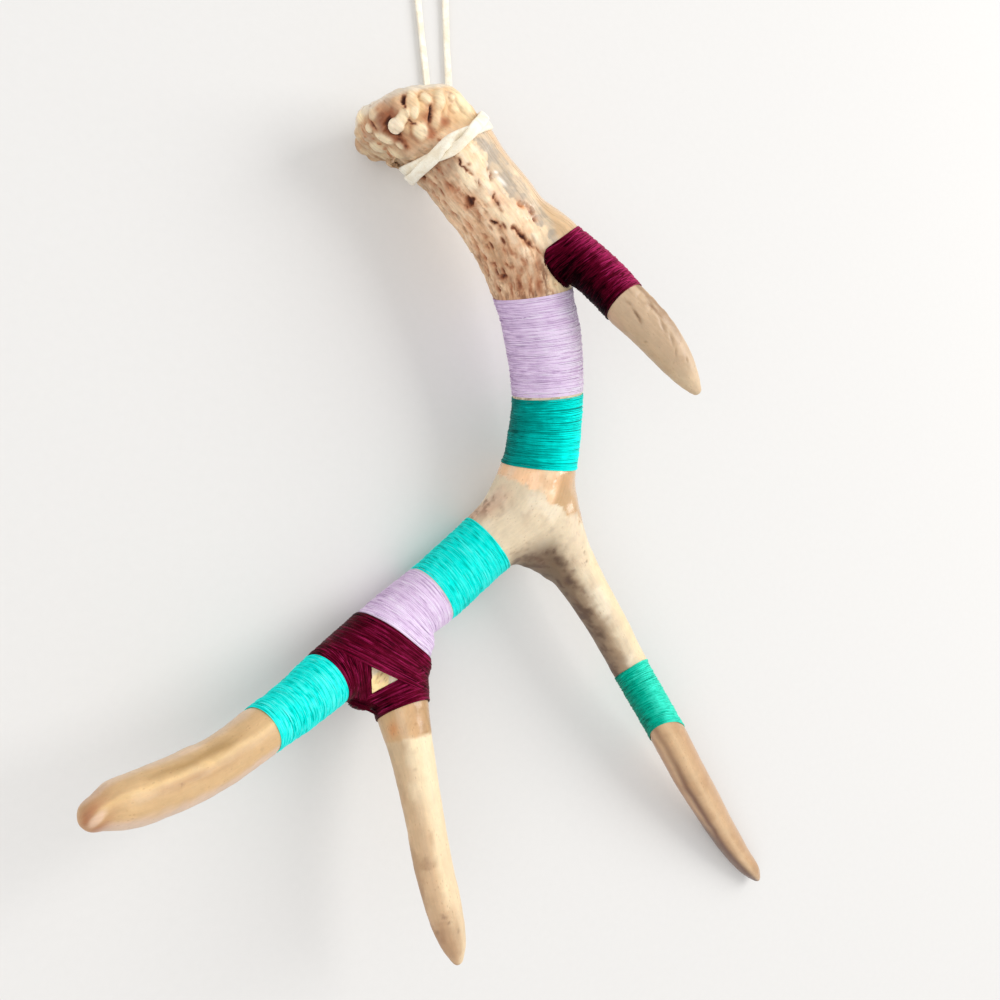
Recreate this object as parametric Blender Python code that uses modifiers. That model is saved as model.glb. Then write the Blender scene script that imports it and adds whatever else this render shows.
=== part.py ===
"""A shed deer antler bound in coloured thread, with a suede lashing and a suede hanging lace.

The antler lies on its outer side on a flat surface at z = 0. It rests on three places: the rim of the burr, the
turquoise binding at the outer bend of the branch, and the underside of the back tine near its point.
Every branch is a tube of changing thickness along a smooth centre line. The branches and the burr are merged,
rounded where they meet, and then split at the forks with a thin saw gap. Lengths in the tables are millimetres.
"""

import math
import random

import bmesh
import bpy
from mathutils import Matrix, Vector

# ------------------------------------------------------------------ driving dimensions
MM = 0.001
GAP = 0.3  # clear gap between pieces that touch
WRAP_OUT = 1.1  # thread surface above the bone
WRAP_IN = 0.4  # inside of a binding above the bone
BITE = 0.5  # how far the bone is drawn in under a binding
VOXEL = 1.5  # grid of the rounded bone
BONE_FACES = 3900  # triangles of the whole bone
LACE_WIDTH = 3.0

# centre line x, y, z and radius, from the burr to the blunt tip
BEAM = [
    (-57, 152.5, 25, 17.6),
    (-40, 141, 28.5, 18.2),
    (-30.5, 129.5, 31, 17.4),
    (-21.5, 119.5, 33, 17.6),
    (-13.5, 108, 34.5, 17.8),
    (-8, 97, 35, 17.2),
    (-3.5, 84.5, 34.5, 16.3),
    (1.5, 69.5, 33, 16.3),
    (5, 52.5, 31, 15.6),
    (6.5, 40, 29, 15.3),
    (6, 28, 27.5, 15.7),
    (5, 14, 25, 16.2),
    (1.5, 1, 22, 17),
    (-5.5, -10, 18.5, 15.6),
    (-15.5, -18.5, 16, 14),
    (-28, -29, 14.4, 13.8),
    (-41, -39, 14.4, 13.6),
    (-54, -46.5, 16, 13.2),
    (-66, -54, 19, 13),
    (-78, -60.5, 23, 12.3),
    (-90, -66.5, 27.5, 11.5),
    (-105, -74.5, 34, 10.3),
    (-120.5, -81, 41, 9.4),
    (-131.5, -85.5, 46.5, 9.2),
    (-142, -88.5, 52, 9.1),
    (-153.5, -90.3, 58.5, 8.9),
    (-165, -91, 65, 8.7),
    (-172.5, -91.2, 69, 7.8),
    (-177.8, -92, 71.6, 5.6),
]
BACK = [
    (7, 4, 22.5, 15.5),
    (12.5, -13, 24.8, 13.2),
    (18.5, -25.5, 26.8, 11.2),
    (27.5, -39.3, 28.2, 9.6),
    (40, -57.4, 28.5, 8.9),
    (52.5, -76, 27, 8.5),
    (65, -92.5, 24.8, 8.5),
    (77.5, -108.5, 22, 8.5),
    (97.5, -134.5, 16.5, 8.4),
    (110, -149.5, 13, 8),
    (122, -164, 9.6, 7.3),
    (133, -176.5, 6.8, 6.6),
    (141.5, -186, 5.0, 5.6),
    (149, -194.5, 4.4, 3.8),
    (152.5, -198.5, 4.6, 2.2),
]
FORE = [
    (-69, -57.5, 20.5, 9.5),
    (-61, -72, 23, 12.2),
    (-59.2, -86.5, 27, 10.1),
    (-57.9, -96.6, 30, 9),
    (-56.6, -109.3, 33.5, 8.2),
    (-55.5, -121.7, 37, 7.7),
    (-54.4, -133.8, 40, 7.5),
    (-53.2, -143.6, 42.2, 7.4),
    (-51.1, -154.5, 44.5, 7.1),
    (-48.6, -166.1, 46.6, 5.9),
    (-47.2, -172.5, 47.6, 4.2),
    (-46.6, -175.5, 48, 2.8),
]
BROW = [
    (-12, 114.5, 36, 12.5),
    (-5.3, 110.8, 42, 10.6),
    (0, 104.5, 48.8, 9.8),
    (8, 96, 54.5, 9.8),
    (16.5, 88.2, 58, 9.8),
    (24.6, 80.3, 60, 9.5),
    (34.5, 71.5, 62.5, 9),
    (44.9, 61.2, 64, 7.8),
    (52.6, 52.4, 64.6, 5.5),
    (56.5, 48.2, 64.8, 3.6),
    (58.2, 46.4, 64.9, 2.6),
]

# burr: centre, direction from its base into the beam, and its turned profile (distance along that direction, radius)
BURR_AT = (-54.3, 149.3, 23.9)
BURR_DIR = (0.4, -0.911, 0.1)
BURR_PROFILE = [(-13, 8), (-12, 14), (-10, 19), (-6.5, 22.3), (-2, 23.6), (2, 22.6), (5.5, 20), (9, 18), (14, 16.5)]
PEARLS = 15  # knobs round the rim
CAVITIES = [  # hollows between the knobs on the upper side: place, size along x, y, z
    (-70.5, 151.5, 43.0, 3.2, 4.6, 4.5),
    (-60.5, 142.5, 45.5, 2.8, 3.0, 4.0),
    (-58.5, 156.0, 45.0, 2.4, 3.4, 4.0),
]

# where each binding starts and ends along its branch
WRAPS = [
    ("brow_wrap_maroon", "brow", 21.5, 56, (0.16, 0.004, 0.05)),
    ("beam_wrap_lavender", "beam", 91.5, 130.8, (0.66, 0.54, 0.78)),
    ("beam_wrap_teal", "beam", 131.2, 160.5, (0.0, 0.35, 0.3)),
    ("branch_wrap_turquoise", "beam", 202, 235.6, (0.03, 0.62, 0.55)),
    ("branch_wrap_lavender", "beam", 236, 258, (0.66, 0.54, 0.78)),
    ("tip_wrap_turquoise", "beam", 293.5, 329, (0.03, 0.62, 0.55)),
    ("tine_wrap_teal", "back", 94, 134, (0.02, 0.42, 0.35)),
]
SEATED = ("brow_wrap_maroon", "branch_wrap_lavender")  # cut back to the bone, not to a plain tube
FORK_WRAP = (258.4, 293.1, 27.0)  # on the beam from, to, and on the fore tine to
WINDOW = [(-75.4, -63.2), (-65.4, -69.1), (-75.4, -73.5)]  # the bare three-cornered gap, seen from above
SAW = [  # cuts that split the antler at its forks: branch, distance along it, half width of the blade
    ("beam", 95, 20.5),
    ("beam", 212, 18),
    ("beam", 303, 15),
    ("brow", 41, 12.5),
    ("back", 42, 15),
    ("fore", 23, 15.5),
]

# neck lashing, round the beam just below the burr
LASH_AT = 19.5
LASH_WIDTH = 5.0
LASH_THICK = 1.7

# hanging lace, from under the lashing, along the surface, round its bight and back
LACE = [
    (-37.5, 138.8, 6.2),
    (-37.8, 143.6, 3.6),
    (-38.1, 149, 2.0),
    (-38.3, 156, 1.6),
    (-38.5, 166, 1.6),
    (-39.2, 178, 1.6),
    (-41.2, 195, 1.6),
    (-43.4, 213, 1.6),
    (-44.8, 224, 1.6),
    (-44.3, 231.5, 1.6),
    (-38.2, 235.6, 1.6),
    (-31.9, 232, 1.6),
    (-30.7, 224.5, 1.6),
    (-30.2, 213, 1.6),
    (-29.6, 196, 1.6),
    (-28.7, 180, 1.6),
    (-28.9, 168, 1.6),
    (-29.9, 156, 1.6),
    (-31.0, 148, 2.2),
    (-31.9, 142, 4.0),
    (-32.6, 136.6, 7.2),
]


# ------------------------------------------------------------------ helpers
def clear_scene():
    for old in list(bpy.data.objects):
        bpy.data.objects.remove(old, do_unlink=True)


def collection(name):
    made = bpy.data.collections.get(name) or bpy.data.collections.new(name)
    if name not in bpy.context.scene.collection.children:
        bpy.context.scene.collection.children.link(made)
    return made


def route(stations, step):
    """Points and radii at even distances along a smooth line through the stations, in metres."""
    rows = [[v * MM for v in row] for row in stations]
    width = len(rows[0])
    at = [0.0]
    for a, b in zip(rows, rows[1:]):
        at.append(at[-1] + math.dist(a[:3], b[:3]))
    slope = []
    for i in range(len(rows)):
        lo, hi = max(i - 1, 0), min(i + 1, len(rows) - 1)
        if lo == i or hi == i:
            slope.append([(rows[hi][k] - rows[lo][k]) / (at[hi] - at[lo]) for k in range(width)])
        else:
            before, after = at[i] - at[lo], at[hi] - at[i]
            slope.append([
                ((rows[i][k] - rows[lo][k]) / before * after + (rows[hi][k] - rows[i][k]) / after * before) / (before + after)
                for k in range(width)
            ])

    def sample(s):
        s = min(max(s, 0.0), at[-1])
        i = max(j for j in range(len(at) - 1) if at[j] <= s)
        h = at[i + 1] - at[i]
        u = (s - at[i]) / h
        f = (2 * u**3 - 3 * u**2 + 1, (u**3 - 2 * u**2 + u) * h, -2 * u**3 + 3 * u**2, (u**3 - u**2) * h)
        return [f[0] * rows[i][k] + f[1] * slope[i][k] + f[2] * rows[i + 1][k] + f[3] * slope[i + 1][k] for k in range(width)]

    return sample, at[-1], [sample(n * step) for n in range(int(at[-1] / step) + 1)] + [sample(at[-1])]


def stretch(sample, start, end, count):
    """Points between two distances, with a short first and last step, so that the end faces lie square to the line."""
    middle = [start + (end - start) * n / (count - 1) for n in range(1, count - 1)]
    return [sample(s * MM) for s in [start, start + 0.6, *middle, end - 0.6, end]]


def finished_mesh(obj, name):
    """The object as its modifiers leave it, as a plain mesh object in place of the old one."""
    graph = bpy.context.evaluated_depsgraph_get()
    mesh = bpy.data.meshes.new_from_object(obj.evaluated_get(graph))
    made = bpy.data.objects.new(name, mesh)
    made.matrix_world = obj.matrix_world.copy()
    WORK.objects.link(made)
    bpy.data.objects.remove(obj, do_unlink=True)
    mesh.name = name
    return made


def tube(name, points, radii, sides_resolution, extra=0.0):
    """A tube along the points, with a radius at each, as a closed mesh."""
    data = bpy.data.curves.new(name, "CURVE")
    data.dimensions = "3D"
    data.bevel_depth = 1.0
    data.bevel_resolution = sides_resolution
    data.use_fill_caps = True
    data.twist_mode = "MINIMUM"
    line = data.splines.new("POLY")
    line.points.add(len(points) - 1)
    sides = 4 + 2 * sides_resolution
    grow = 1.0 / math.cos(math.pi / sides) if extra else 1.0
    for spot, where, r in zip(line.points, points, radii):
        spot.co = (*where, 1.0)
        spot.radius = (r + extra) * grow
    obj = bpy.data.objects.new(name, data)
    WORK.objects.link(obj)
    bpy.context.view_layer.update()
    made = finished_mesh(obj, name)
    weld(made)
    return made


def weld(obj):
    bm = bmesh.new()
    bm.from_mesh(obj.data)
    bmesh.ops.remove_doubles(bm, verts=bm.verts, dist=1e-6)
    bmesh.ops.recalc_face_normals(bm, faces=bm.faces)
    bm.to_mesh(obj.data)
    bm.free()


def ball(name, centre, size):
    """A round lump, size being one radius or three."""
    size = (size,) * 3 if isinstance(size, (int, float)) else size
    mesh = bpy.data.meshes.new(name)
    bm = bmesh.new()
    bmesh.ops.create_uvsphere(bm, u_segments=16, v_segments=10, radius=1.0)
    bmesh.ops.scale(bm, vec=Vector(size) * MM, verts=bm.verts)
    bmesh.ops.translate(bm, vec=Vector(centre) * MM, verts=bm.verts)
    bm.to_mesh(mesh)
    bm.free()
    obj = bpy.data.objects.new(name, mesh)
    WORK.objects.link(obj)
    return obj


def block(name, size, matrix):
    mesh = bpy.data.meshes.new(name)
    bm = bmesh.new()
    bmesh.ops.create_cube(bm, size=1.0)
    bmesh.ops.scale(bm, vec=Vector(size), verts=bm.verts)
    bmesh.ops.transform(bm, matrix=matrix, verts=bm.verts)
    bm.to_mesh(mesh)
    bm.free()
    obj = bpy.data.objects.new(name, mesh)
    WORK.objects.link(obj)
    return obj


def joined(name, objects):
    """The meshes together in one object, overlapping shells and all."""
    bm = bmesh.new()
    for obj in objects:
        bm.from_mesh(obj.data)
        bpy.data.objects.remove(obj, do_unlink=True)
    mesh = bpy.data.meshes.new(name)
    bm.to_mesh(mesh)
    bm.free()
    made = bpy.data.objects.new(name, mesh)
    WORK.objects.link(made)
    return made


def boolean(obj, other, operation, keep_other=False):
    mod = obj.modifiers.new("cut", "BOOLEAN")
    mod.operation = operation
    mod.solver = "EXACT"
    mod.object = other
    bpy.context.view_layer.update()
    made = finished_mesh(obj, obj.name)
    if keep_other:
        other.hide_render = True
        other.display_type = "WIRE"
    else:
        bpy.data.objects.remove(other, do_unlink=True)
    return made


def modified(obj, kind, **settings):
    mod = obj.modifiers.new(kind.lower(), kind)
    for key, value in settings.items():
        setattr(mod, key, value)
    bpy.context.view_layer.update()
    return finished_mesh(obj, obj.name)


def copy_of(obj, name):
    made = bpy.data.objects.new(name, obj.data.copy())
    WORK.objects.link(made)
    return made


def inflated(obj, name, by):
    made = copy_of(obj, name)
    return modified(made, "DISPLACE", strength=by * MM, mid_level=0.0, direction="NORMAL")


def tidy(obj):
    """Triangles only, with the slivers that a cut leaves taken out."""
    bm = bmesh.new()
    bm.from_mesh(obj.data)
    bmesh.ops.triangulate(bm, faces=bm.faces)
    bmesh.ops.dissolve_degenerate(bm, dist=2e-6, edges=bm.edges)
    bmesh.ops.triangulate(bm, faces=bm.faces)
    bm.to_mesh(obj.data)
    bm.free()


def loose_parts(obj):
    """One object for each separate body of the mesh."""
    bm = bmesh.new()
    bm.from_mesh(obj.data)
    seen, groups = set(), []
    for start in bm.verts:
        if start in seen:
            continue
        stack, group = [start], []
        seen.add(start)
        while stack:
            v = stack.pop()
            group.append(v)
            for e in v.link_edges:
                w = e.other_vert(v)
                if w not in seen:
                    seen.add(w)
                    stack.append(w)
        groups.append(group)
    made = []
    for number, group in enumerate(groups):
        index = {v: i for i, v in enumerate(group)}
        faces = {f for v in group for f in v.link_faces}
        mesh = bpy.data.meshes.new(f"body_{number}")
        mesh.from_pydata([v.co[:] for v in group], [], [[index[v] for v in f.verts] for f in sorted(faces, key=lambda f: f.index)])
        mesh.update()
        part = bpy.data.objects.new(f"body_{number}", mesh)
        WORK.objects.link(part)
        made.append(part)
    bm.free()
    bpy.data.objects.remove(obj, do_unlink=True)
    return made


def turned_to(direction):
    """A rotation that takes +Z to the direction."""
    return Vector(direction).normalized().to_track_quat("Z", "Y").to_matrix().to_4x4()


def material(name, colour, rough, metal=0.0):
    made = bpy.data.materials.new(name)
    made.use_nodes = True
    shader = made.node_tree.nodes["Principled BSDF"]
    shader.inputs["Base Color"].default_value = (*colour, 1.0)
    shader.inputs["Roughness"].default_value = rough
    shader.inputs["Metallic"].default_value = metal
    made.diffuse_color = (*colour, 1.0)
    return made


def keep(obj, name, look, smooth=True):
    """Puts a finished piece in the antler's own collection, under its name, on the common empty."""
    obj.name = name
    obj.data.name = name
    for home in list(obj.users_collection):
        home.objects.unlink(obj)
    PARTS.objects.link(obj)
    obj.data.materials.clear()
    obj.data.materials.append(look)
    if smooth:
        obj.data.shade_smooth()
        obj.data.set_sharp_from_angle(angle=math.radians(40))
    obj.parent = STAND
    return obj


# ------------------------------------------------------------------ the model
clear_scene()
PARTS = collection("painted_antler")
WORK = collection("cutters")
STAND = bpy.data.objects.new("antler_stand", None)
PARTS.objects.link(STAND)

LINES = {"beam": BEAM, "back": BACK, "fore": FORE, "brow": BROW}
SAMPLE = {name: route(line, 3 * MM) for name, line in LINES.items()}


def bound(branch, s):
    """How far the bone is drawn in at this distance along a branch, being 0 outside the bindings."""
    spans = [(a, b) for _, on, a, b, _ in WRAPS if on == branch]
    if branch == "beam":
        spans.append(FORK_WRAP[:2])
    if branch == "fore":
        spans.append((-5, FORK_WRAP[2]))
    best = 0.0
    for a, b in spans:
        best = max(best, min((s - a) / 2 + 0.5, (b - s) / 2 + 0.5, 1.0))
    return best * BITE


def bone_tubes():
    made = []
    for name, (_, length, rows) in SAMPLE.items():
        points = [row[:3] for row in rows]
        radii = [row[3] - bound(name, min(n * 3, length / MM)) * MM for n, row in enumerate(rows)]
        made.append(tube(f"bone_{name}", points, radii, 8))
        end = rows[-1]
        made.append(ball(f"point_{name}", [v / MM for v in end[:3]], end[3] / MM))
    return made


def burr():
    centre, along = Vector(BURR_AT) * MM, Vector(BURR_DIR).normalized()
    made = [tube("burr_drum", [centre + along * d * MM for d, _ in BURR_PROFILE], [r * MM for _, r in BURR_PROFILE], 10)]
    turn = turned_to(along)
    dice = random.Random(11)
    for n in range(PEARLS):
        angle = 2 * math.pi * (n + dice.uniform(-0.2, 0.2)) / PEARLS
        out = dice.uniform(20.2, 21.6)
        size = dice.uniform(3.4, 5.0)
        lift = dice.uniform(-6.5, 1.5)
        spot = centre / MM + turn @ Vector((out * math.cos(angle), out * math.sin(angle), lift))
        made.append(ball(f"pearl_{n}", spot, (size, size * dice.uniform(0.8, 1.2), size)))
    return made


bone = joined("bone", bone_tubes() + burr())
bone = modified(bone, "REMESH", mode="VOXEL", voxel_size=VOXEL * MM, adaptivity=0.0)
bone = modified(bone, "SMOOTH", factor=0.5, iterations=4)
for n, (x, y, z, a, b, c) in enumerate(CAVITIES):
    bone = boolean(bone, ball(f"cavity_{n}", (x, y, z), (a, b, c)), "DIFFERENCE")
bone.data.calc_loop_triangles()
bone = modified(bone, "DECIMATE", ratio=BONE_FACES / len(bone.data.loop_triangles))
tidy(bone)
skin_in = inflated(bone, "skin_in", WRAP_IN)
skin_out = inflated(bone, "skin_out", WRAP_OUT)
floor_cut = block("floor_cut", (0.8, 0.8, 0.04), Matrix.Translation((0, 0, -0.02)))
bone = boolean(bone, copy_of(floor_cut, "floor_cut_a"), "DIFFERENCE")

for n, (branch, s, half) in enumerate(SAW):
    sample = SAMPLE[branch][0]
    here, ahead, behind = (Vector(sample((s + d) * MM)[:3]) for d in (0, 1, -1))
    blade = block(f"saw_{n}", (2 * half * MM, 2 * half * MM, GAP * MM), Matrix.Translation(here) @ turned_to(ahead - behind))
    bone = boolean(bone, blade, "DIFFERENCE")
pieces = loose_parts(bone)

BONE = material("bone", (0.66, 0.52, 0.36), 0.45)
SPOTS = {  # a point inside each piece of the antler
    "burr_beam": (-25, 123, 32),
    "brow_tine": (40, 66, 63),
    "mid_beam": (4, 12, 25),
    "back_tine": (90, -125, 18),
    "fore_beam": (-60, -50, 18),
    "fore_tine": (-55, -130, 39),
    "beam_tip": (-142, -88.5, 52),
}
for name, spot in SPOTS.items():
    spot = Vector(spot) * MM
    nearest = min(pieces, key=lambda part: min((v.co - spot).length for v in part.data.vertices))
    pieces.remove(nearest)
    tidy(nearest)
    keep(nearest, name, BONE)
for crumb in pieces:
    bpy.data.objects.remove(crumb, do_unlink=True)

# bindings that go round one branch
for name, branch, start, end, colour in WRAPS:
    sample = SAMPLE[branch][0]
    count = max(4, round((end - start) / 8) + 1)
    outer = stretch(sample, start, end, count)
    inner = stretch(sample, start - 3, end + 3, count)
    sleeve = tube(name, [p[:3] for p in outer], [p[3] - BITE * MM for p in outer], 4, WRAP_OUT * MM)
    hole = tube("hole", [p[:3] for p in inner], [p[3] - BITE * MM for p in inner], 4, (WRAP_IN + 0.1) * MM)
    sleeve = boolean(sleeve, hole, "DIFFERENCE")
    if name in SEATED:  # its end lies on the flare of a fork
        sleeve = boolean(sleeve, copy_of(skin_in, "seat"), "DIFFERENCE")
        halves = sorted(loose_parts(sleeve), key=lambda part: len(part.data.vertices))
        sleeve = halves.pop()
        for crumb in halves:
            bpy.data.objects.remove(crumb, do_unlink=True)
    if min(v.co.z for v in sleeve.data.vertices) < 0:
        sleeve = boolean(sleeve, copy_of(floor_cut, "floor_cut_b"), "DIFFERENCE")
    tidy(sleeve)
    keep(sleeve, name, material(name, colour, 0.55))

# the maroon binding over the second fork: a skin over the bone, webbed across the crotch, with its bare window
beam_at, fore_at = SAMPLE["beam"][0], SAMPLE["fore"][0]
start, end, down = FORK_WRAP
reach = stretch(beam_at, start, end, 6)
zone = tube("zone", [p[:3] for p in reach], [p[3] + 4 * MM for p in reach], 8)
reach = stretch(fore_at, 8, down, 4)
zone = boolean(zone, tube("zone_b", [p[:3] for p in reach], [p[3] + 4 * MM for p in reach], 8), "UNION")
here, ahead, behind = (Vector(beam_at((start + d) * MM)[:3]) for d in (0, 1, -1))
back_off = block("back_off", (0.06, 0.06, 0.02), Matrix.Translation(here) @ turned_to(ahead - behind) @ Matrix.Translation((0, 0, -0.01)))
zone = boolean(zone, back_off, "DIFFERENCE")
web_a, web_b = Vector(beam_at(287 * MM)[:3]), Vector(fore_at(21 * MM)[:3])
web = tube("web", [web_a.lerp(web_b, t) for t in (0, 0.33, 0.66, 1)], [8 * MM, 6.5 * MM, 6.5 * MM, 8 * MM], 4)
cover = boolean(skin_out, web, "UNION")
cover = boolean(cover, zone, "INTERSECT")
cover = boolean(cover, copy_of(skin_in, "fork_seat"), "DIFFERENCE")
window = bpy.data.meshes.new("window")
bm = bmesh.new()
corners = [bm.verts.new((x * MM, y * MM, 0.022)) for x, y in WINDOW]
face = bm.faces.new(corners)
lift = bmesh.ops.extrude_face_region(bm, geom=[face])["geom"]
bmesh.ops.translate(bm, vec=(0, 0, 0.03), verts=[g for g in lift if isinstance(g, bmesh.types.BMVert)])
bmesh.ops.recalc_face_normals(bm, faces=bm.faces)
bm.to_mesh(window)
bm.free()
window = bpy.data.objects.new("window", window)
WORK.objects.link(window)
cover = boolean(cover, window, "DIFFERENCE")
bodies = loose_parts(cover)
bodies.sort(key=lambda part: len(part.data.vertices))
cover = bodies.pop()
for crumb in bodies:
    bpy.data.objects.remove(crumb, do_unlink=True)
tidy(cover)
keep(cover, "fork_wrap_maroon", material("fork_wrap_maroon", (0.14, 0.004, 0.05), 0.55))

# neck lashing: a flat band turned about the neck's own axis
neck, ahead, behind = (beam_at((LASH_AT + d) * MM) for d in (0, 2, -2))
ring_r = neck[3] / MM - 0.6  # the inside is then cut back to the bone
profile = bpy.data.meshes.new("neck_lashing")
bm = bmesh.new()
w, t = LASH_WIDTH / 2, LASH_THICK + 1.5
outline = [(0, -w), (t - 0.7, -w), (t, -w * 0.5), (t, w * 0.5), (t - 0.7, w), (0, w)]
spots = [bm.verts.new(((ring_r + r) * MM, 0, z * MM)) for r, z in reversed(outline)]
for a, b in zip(spots, spots[1:] + spots[:1]):
    bm.edges.new((a, b))
bm.to_mesh(profile)
bm.free()
band = bpy.data.objects.new("neck_lashing", profile)
WORK.objects.link(band)
band = modified(band, "SCREW", steps=28, render_steps=28, use_merge_vertices=True, merge_threshold=1e-5, use_normal_calculate=True)
band.data.transform(Matrix.Translation(neck[:3]) @ turned_to(Vector(ahead[:3]) - Vector(behind[:3])))
weld(band)
band = boolean(band, copy_of(skin_in, "neck_seat"), "DIFFERENCE")
rings = sorted(loose_parts(band), key=lambda part: len(part.data.vertices))
band = rings.pop()
for crumb in rings:
    bpy.data.objects.remove(crumb, do_unlink=True)
tidy(band)
SUEDE = material("suede", (0.78, 0.68, 0.52), 0.9)
keep(band, "neck_lashing", SUEDE)

# hanging lace
_, length, _ = route([(*p, 1) for p in LACE], 1)
steps = 34
sample = route([(*p, 1) for p in LACE], 1)[0]
lace = [sample(length * n / steps)[:3] for n in range(steps + 1)]
lace = tube("hanging_lace", lace, [LACE_WIDTH / 2 * MM] * len(lace), 2)
keep(lace, "hanging_lace", SUEDE)

for helper in (skin_in, floor_cut):
    helper.hide_render = True
    helper.display_type = "WIRE"

# stand the whole with the middle of its base at the origin, the lace not counted
bpy.context.view_layer.update()
corners = [v.co for obj in PARTS.objects if obj.type == "MESH" and obj.name != "hanging_lace" for v in obj.data.vertices]
low = Vector(min(c[k] for c in corners) for k in range(3))
high = Vector(max(c[k] for c in corners) for k in range(3))
STAND.location = (-(low.x + high.x) / 2, -(low.y + high.y) / 2, 0)
bpy.context.view_layer.update()
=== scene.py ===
"""A shed deer antler bound in coloured thread, lying on its outer side, with a suede lashing and a suede lace.

Tables are in millimetres, in a frame that is SHIFT away from the model's own. Every branch is a tube of changing
thickness along a smooth line; the whole is rounded at the forks, then pitted, knobbed and stained. The bindings are
real turns of thread laid over the bone.
"""

import math

import bmesh
import bpy
import numpy as np
from mathutils import Matrix, Vector
from mathutils.bvhtree import BVHTree


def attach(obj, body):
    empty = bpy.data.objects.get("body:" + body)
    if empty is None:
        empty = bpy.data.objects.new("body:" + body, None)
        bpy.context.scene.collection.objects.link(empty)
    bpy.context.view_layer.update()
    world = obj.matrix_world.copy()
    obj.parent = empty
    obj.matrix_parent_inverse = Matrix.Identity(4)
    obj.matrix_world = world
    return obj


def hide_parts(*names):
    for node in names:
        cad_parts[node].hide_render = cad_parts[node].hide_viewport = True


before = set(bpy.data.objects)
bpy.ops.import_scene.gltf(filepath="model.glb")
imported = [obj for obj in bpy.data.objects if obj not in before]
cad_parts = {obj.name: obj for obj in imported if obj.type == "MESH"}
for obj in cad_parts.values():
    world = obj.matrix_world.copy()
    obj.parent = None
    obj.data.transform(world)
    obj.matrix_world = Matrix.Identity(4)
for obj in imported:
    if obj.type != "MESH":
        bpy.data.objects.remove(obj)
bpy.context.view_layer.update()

MM = 0.001
SHIFT = np.array([14.4479, 16.687, 0.0])

# ------------------------------------------------------------------ camera
TILT = math.radians(30)
FIELD = math.radians(55)
AWAY = 225 / math.tan(FIELD / 2)
EYE = AWAY * np.array([-math.sin(TILT), 0, math.cos(TILT)]) + SHIFT
RIGHT = np.array([math.cos(TILT), 0, math.sin(TILT)])
UP = np.array([0.0, 1.0, 0.0])
AHEAD = np.array([math.sin(TILT), 0, -math.cos(TILT)])

camera = bpy.data.cameras.new("view")
camera.angle = FIELD
camera.clip_start, camera.clip_end = 0.01, 20
eye = bpy.data.objects.new("view", camera)
bpy.context.scene.collection.objects.link(eye)
turn = Matrix((RIGHT, UP, -AHEAD)).transposed().to_4x4()
turn.translation = Vector(EYE * MM)
eye.matrix_world = turn
bpy.context.scene.camera = eye


def sight(px, py):
    """The direction from the eye through a place in the 1000 x 1000 picture."""
    t = math.tan(FIELD / 2)
    d = AHEAD + (px - 500) / 500 * t * RIGHT + (500 - py) / 500 * t * UP
    return d / np.linalg.norm(d)


def pictured(p):
    """Where points appear in the 1000 x 1000 picture."""
    d = p - EYE
    depth = d @ AHEAD * math.tan(FIELD / 2) / 500
    return 500 + d @ RIGHT / depth, 500 - d @ UP / depth


# ------------------------------------------------------------------ the design, as in the solids
BEAM = [
    (-57, 152.5, 25, 17.6), (-40, 141, 28.5, 18.2), (-30.5, 129.5, 31, 17.4), (-21.5, 119.5, 33, 17.6),
    (-13.5, 108, 34.5, 17.8), (-8, 97, 35, 17.2), (-3.5, 84.5, 34.5, 16.3), (1.5, 69.5, 33, 16.3),
    (5, 52.5, 31, 15.6), (6.5, 40, 29, 15.3), (6, 28, 27.5, 15.7), (5, 14, 25, 16.2), (1.5, 1, 22, 17),
    (-5.5, -10, 18.5, 15.6), (-15.5, -18.5, 16, 14), (-28, -29, 14.4, 13.8), (-41, -39, 14.4, 13.6),
    (-54, -46.5, 16, 13.2), (-66, -54, 19, 13), (-78, -60.5, 23, 12.3), (-90, -66.5, 27.5, 11.5),
    (-105, -74.5, 34, 10.3), (-120.5, -81, 41, 9.4), (-131.5, -85.5, 46.5, 9.2), (-142, -88.5, 52, 9.1),
    (-153.5, -90.3, 58.5, 8.9), (-165, -91, 65, 8.7), (-172.5, -91.2, 69, 7.8), (-177.8, -92, 71.6, 5.6),
]
BACK = [
    (7, 4, 22.5, 15.5), (12.5, -13, 24.8, 13.2), (18.5, -25.5, 26.8, 11.2), (27.5, -39.3, 28.2, 9.6),
    (40, -57.4, 28.5, 8.9), (52.5, -76, 27, 8.5), (65, -92.5, 24.8, 8.5), (77.5, -108.5, 22, 8.5),
    (97.5, -134.5, 16.5, 8.4), (110, -149.5, 13, 8), (122, -164, 9.6, 7.3), (133, -176.5, 6.8, 6.6),
    (141.5, -186, 5.0, 5.6), (149, -194.5, 4.4, 3.8), (152.5, -198.5, 4.6, 2.2),
]
FORE = [
    (-69, -57.5, 20.5, 9.5), (-61, -72, 23, 12.2), (-59.2, -86.5, 27, 10.1), (-57.9, -96.6, 30, 9),
    (-56.6, -109.3, 33.5, 8.2), (-55.5, -121.7, 37, 7.7), (-54.4, -133.8, 40, 7.5), (-53.2, -143.6, 42.2, 7.4),
    (-51.1, -154.5, 44.5, 7.1), (-48.6, -166.1, 46.6, 5.9), (-47.2, -172.5, 47.6, 4.2), (-46.6, -175.5, 48, 2.8),
]
BROW = [
    (-12, 114.5, 36, 12.5), (-5.3, 110.8, 42, 10.6), (0, 104.5, 48.8, 9.8), (8, 96, 54.5, 9.8), (16.5, 88.2, 58, 9.8),
    (24.6, 80.3, 60, 9.5), (34.5, 71.5, 62.5, 9), (44.9, 61.2, 64, 7.8), (52.6, 52.4, 64.6, 5.5),
    (56.5, 48.2, 64.8, 3.6), (58.2, 46.4, 64.9, 2.6),
]
BURR_AT = np.array([-54.3, 149.3, 23.9])
BURR_DIR = np.array([0.4, -0.911, 0.1]) / math.sqrt(0.4**2 + 0.911**2 + 0.1**2)
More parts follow.
